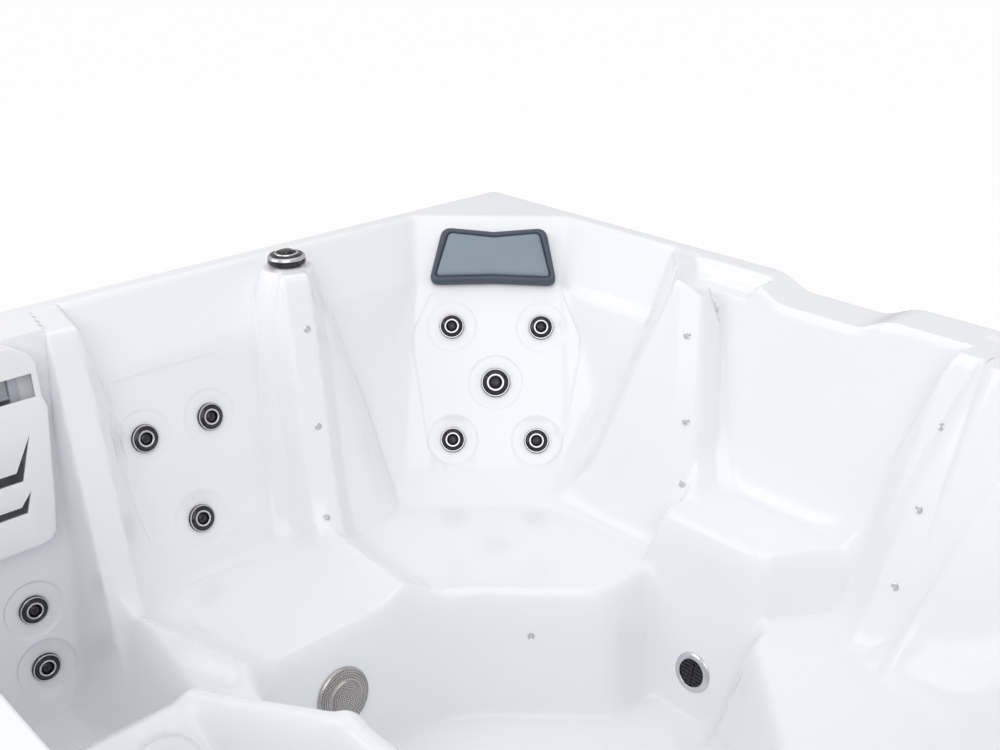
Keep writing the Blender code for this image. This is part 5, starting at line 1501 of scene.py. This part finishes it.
def look_named(name):
    """A finish by name, made the first time that it is asked for."""
    if name in bpy.data.materials:
        return bpy.data.materials[name]
    colours = bpy.context.scene.hot_tub_colours
    # Each row: colour, its share in the darker patches, patch size, roughness and its spread, grain size
    # and relief, metallic, IOR, then a stretch of the pattern and a clear share where the finish has them
    finishes = {
        # Acrylic sheet, vacuum formed and polished: a wet white gloss over a ripple 6 mm long, too faint to
        # see as more than a slight softness in the highlights
        "white_acrylic": (tuple(colours.acrylic), 0.985, 0.30, 0.13, 0.02, 0.006, 0.00001, 0.0, 1.49),
        # ABS with satin plating: pale silver rings with soft highlights
        "silver_trim": (tuple(colours.silver), 0.93, 0.02, 0.22, 0.04, 0.0008, 0.00001, 0.9, 1.5),
        # ABS with bright chrome plating: small hard reflections
        "bright_chrome": (linear_of("#DADBDC"), 0.96, 0.01, 0.10, 0.03, 0.0008, 0.000005, 1.0, 1.5),
        # ABS, moulded and polished: deep black with clear highlights
        "black_gloss": (tuple(colours.black), 0.80, 0.02, 0.18, 0.03, 0.0008, 0.00001, 0.0, 1.53),
        # ABS, moulded with a 1 mm satin grain: dull dark grey
        "dark_satin": (linear_of("#33363B"), 0.85, 0.05, 0.42, 0.05, 0.0010, 0.00003, 0.0, 1.53),
        # ABS, moulded with a 1 mm satin grain: cool pale grey
        "pale_satin": (linear_of("#C6CCD6"), 0.94, 0.05, 0.38, 0.05, 0.0010, 0.00002, 0.0, 1.53),
        # ABS, moulded with a 1 mm satin grain: plain mid grey
        "grey_satin": (linear_of("#BCBFC3"), 0.94, 0.05, 0.38, 0.05, 0.0010, 0.00002, 0.0, 1.53),
        # Stainless steel, pressed and brushed with 0.6 mm scratches: warm grey, broad highlights
        "warm_steel": (tuple(colours.steel), 0.93, 0.03, 0.27, 0.05, 0.0006, 0.00001, 1.0, 1.5),
        # Galvanised steel tube: mottled grey metal with a 2 mm spangle
        "frame_steel": (linear_of("#A8ABAE"), 0.85, 0.03, 0.36, 0.08, 0.0020, 0.00003, 1.0, 1.5),
        # Polyurethane foam with its own moulded skin: dull slate with a fine 1.2 mm grain
        "slate_foam": (tuple(colours.slate), 0.90, 0.03, 0.55, 0.05, 0.0012, 0.00010, 0.0, 1.5),
        # Polyurethane foam skin, embossed: dull blue-grey with 2.2 mm pebbles
        "pad_foam": (tuple(colours.pad), 0.92, 0.03, 0.55, 0.05, 0.0022, 0.00022, 0.0, 1.5),
        # Polystyrene board, embossed: level grain drawn out along each board, streaky dark grey
        "cabinet_board": (tuple(colours.cabinet), 0.72, 0.012, 0.55, 0.08, 0.0022, 0.00025, 0.0, 1.55,
                          (0.08, 0.08, 1)),
        # PVC pipe, extruded: plain white with a low sheen
        "pipe_white": (linear_of("#E6E7E8"), 0.95, 0.08, 0.35, 0.05, 0.0020, 0.00002, 0.0, 1.53),
        # Polyester filter cloth, pleated: matt white with a 1 mm felt
        "filter_cloth": (linear_of("#E3E4E5"), 0.92, 0.02, 0.85, 0.05, 0.0010, 0.00012, 0.0, 1.5),
        # Cast aluminium, painted: near black with a 1.2 mm orange peel
        "motor_paint": (linear_of("#2A2B2E"), 0.85, 0.03, 0.40, 0.06, 0.0012, 0.00006, 0.0, 1.5),
        # Insulating foam board, pressed: matt buff with 3 mm beads
        "foam_board": (linear_of("#C5BDA8"), 0.85, 0.02, 0.85, 0.05, 0.0030, 0.00030, 0.0, 1.5),
        # Polycarbonate, moulded and lightly frosted: a pale lens that lets some light through
        "frosted_lens": (linear_of("#E4E8EC"), 0.97, 0.02, 0.16, 0.02, 0.0020, 0.000002, 0.0, 1.58,
                         (1, 1, 1), 0.30)}
    return surface_look(name, *finishes[name])


def banded(bands, scale=1.0):
    """Outline with its finishes looked up and its radii scaled."""
    return [(radius * scale, height, look_named(finish))
            for finish, *places in bands for radius, height in places]


def barrel_bands(barrel, length, look, cup=None):
    """Outline of a threaded barrel through the shell, with the wider cup behind it if there is one."""
    if not cup:
        return [(barrel, -length, look), (barrel, seam_gap, look)]
    behind = -sheet - seam_gap
    return [(cup, behind - length, look), (cup, behind, look), (barrel, behind, look),
            (barrel, seam_gap, look)]


def nozzle_face(scale, sides):
    """Jet face with its silver ring, domed eyeball and off-centre nozzle."""
    face = lathed("jet_face", banded(face_bands, scale), sides)
    nozzle = lathed("nozzle", banded(nozzle_bands, scale), nozzle_sides)
    tilt = math.radians(nozzle_tilt)
    lean = Matrix.Translation((nozzle_shift * scale, 0, nozzle_lift)) @ Matrix.Rotation(tilt, 4, "Y")
    return joined("jet_face", [face, settled(nozzle, lean)])


def jet_pattern(radius, sides):
    """One jet at the origin: its trim ring with barrel and cup, and its turning face."""
    dark = look_named("dark_satin")
    scale = radius / jet_radius
    barrel = barrel_bands(jet_barrel_radius, jet_cup_length, dark, jet_cup_radius)
    ring = lathed("ring", barrel + banded(ring_bands, scale), sides)
    face = nozzle_face(scale, sides)
    stub_low = seam_gap - jet_bore_depth
    stub_high = jet_seat_height + seam_gap * 2
    stub = post(stub_low, stub_high, jet_bore_radius - hole_clearance, dark)
    bore = post(-jet_bore_depth, jet_recess, jet_bore_radius, dark)
    return cut_by(ring, [bore]), joined("jet_face", [face, stub])


def make_jet_sets(sides):
    """The jets' trim rings with their barrels, cups and pipes, and the turning faces."""
    dark = look_named("dark_satin")
    groups = {}
    for group, spot, radius in jet_spots():
        groups.setdefault(group, []).append((spot, radius))
    patterns = {radius: jet_pattern(radius, sides) for radius in (jet_radius, large_jet_radius)}
    middle = jet_cup_length - manifold_radius - seam_gap
    for group, jets in groups.items():
        turning = group in turning_groups
        pieces = []
        for index, (spot, radius) in enumerate(jets):
            ring, face = patterns[radius]
            pieces.append(copied(ring, spot.frame()))
            shown = copied(face, spot.frame())
            if turning:
                name = "%s_jet_face_%d" % (group, index + 1) if len(jets) > 1 else group + "_jet_face"
                shown.name = name + "_dressed"
                dressed(shown, [name], name)
            else:
                pieces.append(shown)
        pieces += run_of_rods([cup_end(spot, middle) for spot, _ in jets], manifold_radius, dark)
        if group == "corner":
            low = jets[-2][0]
            tee = (cup_end(low, jet_cup_length / 2), cup_end(low, jet_cup_length + tee_length))
            pieces += run_of_rods(tee, pipe_radius, dark)
        dressed(joined(group + "_jet_set", pieces),
                [group + "_jet_bodies"])
    for ring, face in patterns.values():
        dropped(ring, face)


def make_light_strings(sides):
    """Chrome ringed light points, each string on its cable behind the shell."""
    dark = look_named("dark_satin")
    barrel = barrel_bands(light_barrel_radius, light_barrel_length, dark)
    pattern = lathed("light", barrel + banded(light_bands), sides)
    groups = {}
    for group, spot in light_spots():
        groups.setdefault(group, []).append(spot)
    for group, spots in groups.items():
        pieces = [copied(pattern, spot.frame()) for spot in spots]
        path = [spot.point - spot.normal * (light_barrel_length * cable_share) for spot in spots]
        pieces += run_of_rods(path, light_cable_radius, dark)
        dressed(joined(group + "_lights", pieces), [group + "_light_string"])
    spot = fitting_table()["footwell_light"]
    dressed(joined("footwell_light_point", [copied(pattern, spot.frame())]), ["footwell_light"])
    dropped(pattern)


def perforated_plate(sides):
    """The suction cover's stepped dome, with rings of holes through its skin."""
    centres = []
    for radius in cover_rings:
        centres += circle(radius, round(2 * math.pi * radius / cover_pitch))
    centres.append((0.0, 0.0))
    lines = [circle(cover_hole, cover_hole_sides, centre) for centre in centres]
    rims = [circle(radius, sides) for radius, _ in cover_heights[1:]]
    points, triangles, loops = net_of([], rims + lines, [])
    middles = points[triangles].mean(axis=1)
    away = numpy.full(len(triangles), cover_radius)
    for centre in centres:
        away = numpy.minimum(away, numpy.hypot(*(middles - centre).T))
    triangles = triangles[away > cover_hole * hole_share]
    top = numpy.interp(numpy.hypot(*points.T), *numpy.array(cover_heights).T)
    low = numpy.maximum(top - cover_skin, seam_gap)
    count = len(points)
    corners = [(x, y, z) for heights in (top, low) for (x, y), z in zip(points, heights)]
    faces = triangles.tolist() + (triangles[:, ::-1] + count).tolist()
    for loop in [loops[len(rims) - 1]] + [loop[::-1] for loop in loops[len(rims):]]:
        faces += [(first, first + count, second + count, second) for first, second in closed_pairs(loop)]
    mesh = bpy.data.meshes.new("plate")
    mesh.from_pydata(corners, [], faces)
    mesh.materials.append(look_named("warm_steel"))
    return smoothed(new_piece("plate", mesh))


def make_perforated_cover(sides):
    """Stainless suction cover: a stepped dome with rings of holes over a dark chamber."""
    place = fitting_table()["suction"].frame()
    plate = perforated_plate(sides)
    dark = look_named("dark_satin")
    chamber_radius = cover_radius * chamber_share
    bands = barrel_bands(fitting_barrel_radius, fitting_barrel_length, dark)
    bands += [(chamber_radius, seam_gap, dark), (chamber_radius, cover_floor, dark)]
    chamber = lathed("chamber", bands, sides)
    dressed(settled(joined("suction_cover_dressed", [plate, chamber]), place), ["suction_cover"])


def make_drain(sides):
    """Drain with a conical silver ring and a dark louvred grille."""
    place = fitting_table()["drain"].frame()
    dark = look_named("black_gloss")
    barrel = barrel_bands(fitting_barrel_radius, fitting_barrel_length, look_named("dark_satin"))
    half = louvre_bar / 2
    pieces = [lathed("base", barrel + banded(drain_bands), sides),
              cuboid("spine", (-half, -grille_radius, grille_low), (half, grille_radius, spine_top), dark)]
    for row in range(-louvre_rows, louvre_rows + 1):
        middle = row * grille_radius / (louvre_rows + louvre_margin)
        run = math.sqrt(grille_radius ** 2 - middle ** 2)
        low = (-run, middle - half, grille_low)
        pieces.append(cuboid("louvre", low, (run, middle + half, louvre_top), dark))
    dressed(settled(joined("drain_dressed", pieces), place), ["drain_fitting"])


def make_knob(sides):
    """Diverter knob with silver rings and a raised middle, hollow over its spindle."""
    place = fitting_table()["knob"].frame()
    knob = lathed("diverter_knob_dressed", banded(knob_bands), sides)
    low = valve_flange_height + seam_gap
    cut_by(knob, [post(low - cut_overrun, low + spindle_height + seam_gap, knob_socket_radius,
                       look_named("dark_satin"))])
    dressed(settled(knob, place), ["diverter_knob"], "diverter_knob")


def make_pillow_set():
    """Rounded slate frames with crowned pads."""
    for name, place in pillow_frames():
        place = place @ Matrix.Translation((0, pillow_lift, 0))
        rings = [(bow_tie(inset), height) for inset, height in pillow_frame_rings]
        rim = lofted(name + "_pillow_rim", rings, look_named("slate_foam"), place)
        dressed(rim, [name + "_pillow_frame"])
        rings = [(bow_tie(inset), height) for inset, height in pillow_pad_rings]
        pad = lofted(name + "_pillow_cushion", rings, look_named("pad_foam"), place)
        dressed(pad, [name + "_pillow_pad"])


def wall_slab(name, outline, front, back, look):
    """Slab over an outline given across and up the skimmer's wall, between two distances behind its face."""
    return lofted(name, ((outline, -back), (outline, -front)), look, wall_turn)


def make_skimmer_front():
    """White skimmer front: hooded top, mouth and two louvre openings in a thin rounded cover."""
    look = look_named("white_acrylic")
    outline = list(skimmer_side) + [(-x, z) for x, z in reversed(skimmer_side)]
    rings = [(drawn_in(outline, inset), height) for inset, height in skimmer_rings]
    cover = lofted("skimmer_front_dressed", rings, look, wall_turn)
    sill = skimmer_hood + skimmer_mouth
    front = -skimmer_proud - cut_overrun
    hollow = drawn_in(outline, skimmer_skin)
    tools = [wall_slab("hollow", hollow, skimmer_skin - skimmer_proud, cut_overrun, look)]
    mouth = [(-skimmer_mouth_half, -sill), (skimmer_mouth_half, -sill),
             (skimmer_mouth_half, -skimmer_hood), (-skimmer_mouth_half, -skimmer_hood)]
    tools.append(wall_slab("mouth", mouth, front, 0, look))
    louvres = (
        (upper_louvre_tip, upper_louvre_half, upper_louvre_drop, upper_louvre_rise, upper_louvre_height),
        (lower_louvre_tip, lower_louvre_half, lower_louvre_drop, lower_louvre_rise, lower_louvre_height))
    for tip, half, drop, rise, height in louvres:
        high = -sill - drop
        low = high - rise
        inner = half - louvre_turn
        slot = [(-half, low), (half, low), (tip, high),
                (inner, low + height), (-inner, low + height), (-tip, high)]
        tools.append(wall_slab("louvre", slot, front, cut_overrun / 2 - skimmer_proud, look))
    eased(cut_by(cover, tools), skimmer_cut_round)
    dressed(settled(smoothed(cover), skimmer_frame()), ["skimmer_front"])


def make_cabinet_boards():
    """Four cabinet panels of grooved boards."""
    top = rim_height - skirt_drop + panel_top_tuck
    run = cabinet_outer - corner_cover_leg - seam_gap
    pitch = (top - cabinet_low) / board_rows
    outline = [(-cabinet_inner, cabinet_low), (-cabinet_outer + groove_depth, cabinet_low)]
    for index in range(board_rows):
        base = cabinet_low + pitch * index
        outline += [(-cabinet_outer, base + groove_half), (-cabinet_outer, base + pitch - groove_half),
                    (-cabinet_outer + groove_depth, base + pitch)]
    outline[-1] = (-cabinet_outer + groove_depth, top)
    outline.append((-cabinet_inner, top))
    outline.reverse()
    for turn, name in enumerate(("front_panel", "right_panel", "rear_panel", "left_panel")):
        spin = Matrix.Rotation(math.pi / 2 * turn, 4, "Z")
        panel = lofted(name + "_boards", ((outline, run), (outline, -run)), look_named("cabinet_board"),
                       spin @ board_turn)
        dressed(panel, [name])


def make_corner_covers():
    """Four corner covers of the cabinet, rounded outside."""
    top = rim_height - skirt_drop + panel_top_tuck
    leg = cabinet_outer - corner_cover_leg
    middle = cabinet_outer - cover_round
    arc = []
    for index in range(cover_round_steps + 1):
        angle = -math.pi / 2 * (1 - index / cover_round_steps)
        arc.append((middle + cover_round * math.cos(angle), -middle + cover_round * math.sin(angle)))
    outline = [(leg, -cabinet_outer)] + arc + [
        (cabinet_outer, -leg), (cabinet_inner, -leg), (cabinet_inner, -cabinet_inner), (leg, -cabinet_inner)]
    names = ("front_right_cover", "rear_right_cover", "rear_left_cover", "front_left_cover")
    for turn, name in enumerate(names):
        spin = Matrix.Rotation(math.pi / 2 * turn, 4, "Z")
        rings = ((outline, cabinet_low), (outline, top))
        cover = lofted(name + "_post", rings, look_named("dark_satin"), spin)
        dressed(smoothed(eased(cover, edge_ease)), [name])


def make_controls(sides):
    """Topside control panel with rounded edges, and its two buttons."""
    place = Matrix.Translation((control_from_side - half_side, control_y, rim_height))
    black = look_named("black_gloss")
    body = cuboid("control_panel_dressed", (-control_width / 2, -control_length / 2, seam_gap - control_edge),
                  (control_width / 2, control_length / 2, control_height), black)
    eased(body, control_edge, 4, smooth_angle)
    tools = [cuboid("under", (-control_width, -control_length, -cut_overrun),
                    (control_width, control_length, seam_gap), black)]
    start = control_height - button_travel - button_rise
    for side in (-1, 1):
        tools.append(post(start, start + cut_overrun, button_radius, look_named("dark_satin"),
                          side * button_space, sides))
    cut_by(body, tools)
    dressed(settled(smoothed(body), place), ["control_panel"])
    for side, name in ((-1, "jets_button"), (1, "light_button")):
        button = lathed(name + "_dressed", banded(button_bands), sides)
        rise = Matrix.Translation((0, side * button_space, control_height - button_rise + seam_gap))
        dressed(settled(button, place @ rise), [name], name)


class HOTTUB_OT_shell(bpy.types.Operator):
    """Model the moulded acrylic shell"""

    bl_idname = "hot_tub.shell"
    bl_label = "Shell"

    def execute(self, context):
        piece = new_piece("tub_shell", make_shell_mesh(context.scene.hot_tub_shell))
        piece.data.materials.append(look_named("white_acrylic"))
        dressed(piece, ["acrylic_shell"])
        return {"FINISHED"}


class HOTTUB_OT_jets(bpy.types.Operator):
    """Model the jets' rings, pipes and turning faces"""

    bl_idname = "hot_tub.jets"
    bl_label = "Jets"

    def execute(self, context):
        make_jet_sets(context.scene.hot_tub_shell.ring_sides)
        return {"FINISHED"}


class HOTTUB_OT_lights(bpy.types.Operator):
    """Model the light points"""

    bl_idname = "hot_tub.lights"
    bl_label = "Lights"

    def execute(self, context):
        make_light_strings(context.scene.hot_tub_shell.light_hole_sides)
        return {"FINISHED"}


class HOTTUB_OT_fittings(bpy.types.Operator):
    """Model the footwell's suction cover and drain, and the diverter's knob"""

    bl_idname = "hot_tub.fittings"
    bl_label = "Fittings"

    def execute(self, context):
        sides = context.scene.hot_tub_shell.ring_sides
        make_perforated_cover(sides)
        make_drain(sides)
        make_knob(sides)
        return {"FINISHED"}


class HOTTUB_OT_pillows(bpy.types.Operator):
    """Model the two pillows"""

    bl_idname = "hot_tub.pillows"
    bl_label = "Pillows"

    def execute(self, context):
        make_pillow_set()
        return {"FINISHED"}


class HOTTUB_OT_skimmer(bpy.types.Operator):
    """Model the skimmer's front"""

    bl_idname = "hot_tub.skimmer"
    bl_label = "Skimmer"

    def execute(self, context):
        make_skimmer_front()
        return {"FINISHED"}


class HOTTUB_OT_cabinet(bpy.types.Operator):
    """Model the cabinet's panels and corner covers"""

    bl_idname = "hot_tub.cabinet"
    bl_label = "Cabinet"

    def execute(self, context):
        make_cabinet_boards()
        make_corner_covers()
        return {"FINISHED"}


class HOTTUB_OT_controls(bpy.types.Operator):
    """Model the topside control panel and its buttons"""

    bl_idname = "hot_tub.controls"
    bl_label = "Controls"

    def execute(self, context):
        make_controls(context.scene.hot_tub_shell.ring_sides)
        return {"FINISHED"}


class HOTTUB_OT_inner_parts(bpy.types.Operator):
    """Give the equipment and the frame their finishes"""

    bl_idname = "hot_tub.inner_parts"
    bl_label = "Inner parts"

    def execute(self, context):
        for name, finish in inner_finishes.items():
            for slot in frame["nodes"][name].material_slots:
                slot.material = look_named(finish)
        return {"FINISHED"}


def seen_directly(tree):
    """One where a ray comes straight from the camera, zero elsewhere."""
    return add_node(tree, "ShaderNodeLightPath").outputs["Is Camera Ray"]


def floor_look():
    """Pale studio floor that the camera sees as almost white, with the shadow just showing."""
    look = bpy.data.materials.new("studio_floor")
    look.use_nodes = True
    tree = look.node_tree
    tree.nodes.clear()
    pale = add_node(tree, "ShaderNodeBsdfDiffuse", (("Color", (*floor_shade, 1)),))
    glow = add_node(tree, "ShaderNodeEmission", (("Color", (1, 1, 1, 1)), ("Strength", 1.0)))
    share = add_node(tree, "ShaderNodeMath", (("operation", "MULTIPLY"), (1, floor_glow)),
                     ((0, seen_directly(tree)),))
    both = add_node(tree, "ShaderNodeMixShader", (), (
        (0, share.outputs[0]), (1, pale.outputs[0]), (2, glow.outputs[0])))
    add_node(tree, "ShaderNodeOutputMaterial", (), (("Surface", both.outputs[0]),))
    return look


def studio_world():
    """Even white surroundings: dimmer as a light than as a backdrop."""
    world = bpy.data.worlds.new("studio")
    world.use_nodes = True
    tree = world.node_tree
    tree.nodes.clear()
    strength = add_node(tree, "ShaderNodeMapRange", (("To Min", ambient_strength), ("To Max", 1.0)),
                        (("Value", seen_directly(tree)),))
    white = add_node(tree, "ShaderNodeBackground", (("Color", (1, 1, 1, 1)),),
                     (("Strength", strength.outputs[0]),))
    add_node(tree, "ShaderNodeOutputWorld", (), (("Surface", white.outputs[0]),))
    return world


def soft_lamp(name, place, size, power):
    """Large round lamp that faces the tub's middle."""
    lamp = bpy.data.lights.new(name, "AREA")
    lamp.shape = "DISK"
    lamp.size = size
    lamp.energy = power
    item = new_piece(name, lamp)
    way = Vector((0, 0, rim_height / 2)) - Vector(place)
    item.matrix_world = Matrix.Translation(place) @ way.to_track_quat("-Z", "Y").to_matrix().to_4x4()
    return item


def photo_camera():
    """Camera at the photograph's angle."""
    eye = bpy.data.cameras.new("camera")
    eye.sensor_width = sensor_width
    eye.lens = lens_length
    camera = new_piece("camera", eye)
    right = Vector((camera_side.x, camera_side.y, 0)).normalized()
    level = math.cos(camera_fall)
    ahead = Vector((-right.y * level, right.x * level, -math.sin(camera_fall)))
    camera.matrix_world = upright(right, right.cross(ahead), -ahead, Vector(camera_place))
    return camera


class HOTTUB_OT_stage(bpy.types.Operator):
    """Set the floor, the soft light and the camera"""

    bl_idname = "hot_tub.stage"
    bl_label = "Stage"

    def execute(self, context):
        bpy.ops.mesh.primitive_plane_add(size=stage_reach, location=(0, 0, -seam_gap))
        floor = context.object
        floor.name = "floor"
        floor.data.materials.append(floor_look())
        soft = [soft_lamp(*row) for row in stage_lamps]
        context.scene.world = studio_world()
        context.scene.camera = photo_camera()
        context.scene.view_settings.view_transform = "Standard"
        return {"FINISHED"}


class HOTTUB_PT_panel(bpy.types.Panel):
    """Steps and settings of the hot tub"""

    bl_idname = "HOTTUB_PT_panel"
    bl_label = "Hot tub"
    bl_space_type = "VIEW_3D"
    bl_region_type = "UI"
    bl_category = "Hot tub"

    def draw(self, context):
        for group in (context.scene.hot_tub_shell, context.scene.hot_tub_colours):
            for name in group.__annotations__:
                self.layout.prop(group, name)
        for step in steps:
            self.layout.operator(step.bl_idname)


steps = (HOTTUB_OT_shell, HOTTUB_OT_jets, HOTTUB_OT_lights, HOTTUB_OT_fittings, HOTTUB_OT_pillows,
         HOTTUB_OT_skimmer, HOTTUB_OT_cabinet, HOTTUB_OT_controls, HOTTUB_OT_inner_parts, HOTTUB_OT_stage)
classes = (TubShellSettings, TubColourSettings) + steps + (HOTTUB_PT_panel,)


def register():
    """Adds the panel, the steps and their settings."""
    for kind in classes:
        bpy.utils.register_class(kind)
    bpy.types.Scene.hot_tub_shell = PointerProperty(type=TubShellSettings)
    bpy.types.Scene.hot_tub_colours = PointerProperty(type=TubColourSettings)


def unregister():
    """Takes the panel, the steps and their settings away again."""
    del bpy.types.Scene.hot_tub_colours
    del bpy.types.Scene.hot_tub_shell
    for kind in reversed(classes):
        bpy.utils.unregister_class(kind)


def main():
    """Makes every piece and the stage."""
    register()
    for step in steps:
        group, name = step.bl_idname.split(".")
        getattr(getattr(bpy.ops, group), name)()
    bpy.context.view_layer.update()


if __name__ == "__main__":
    main()
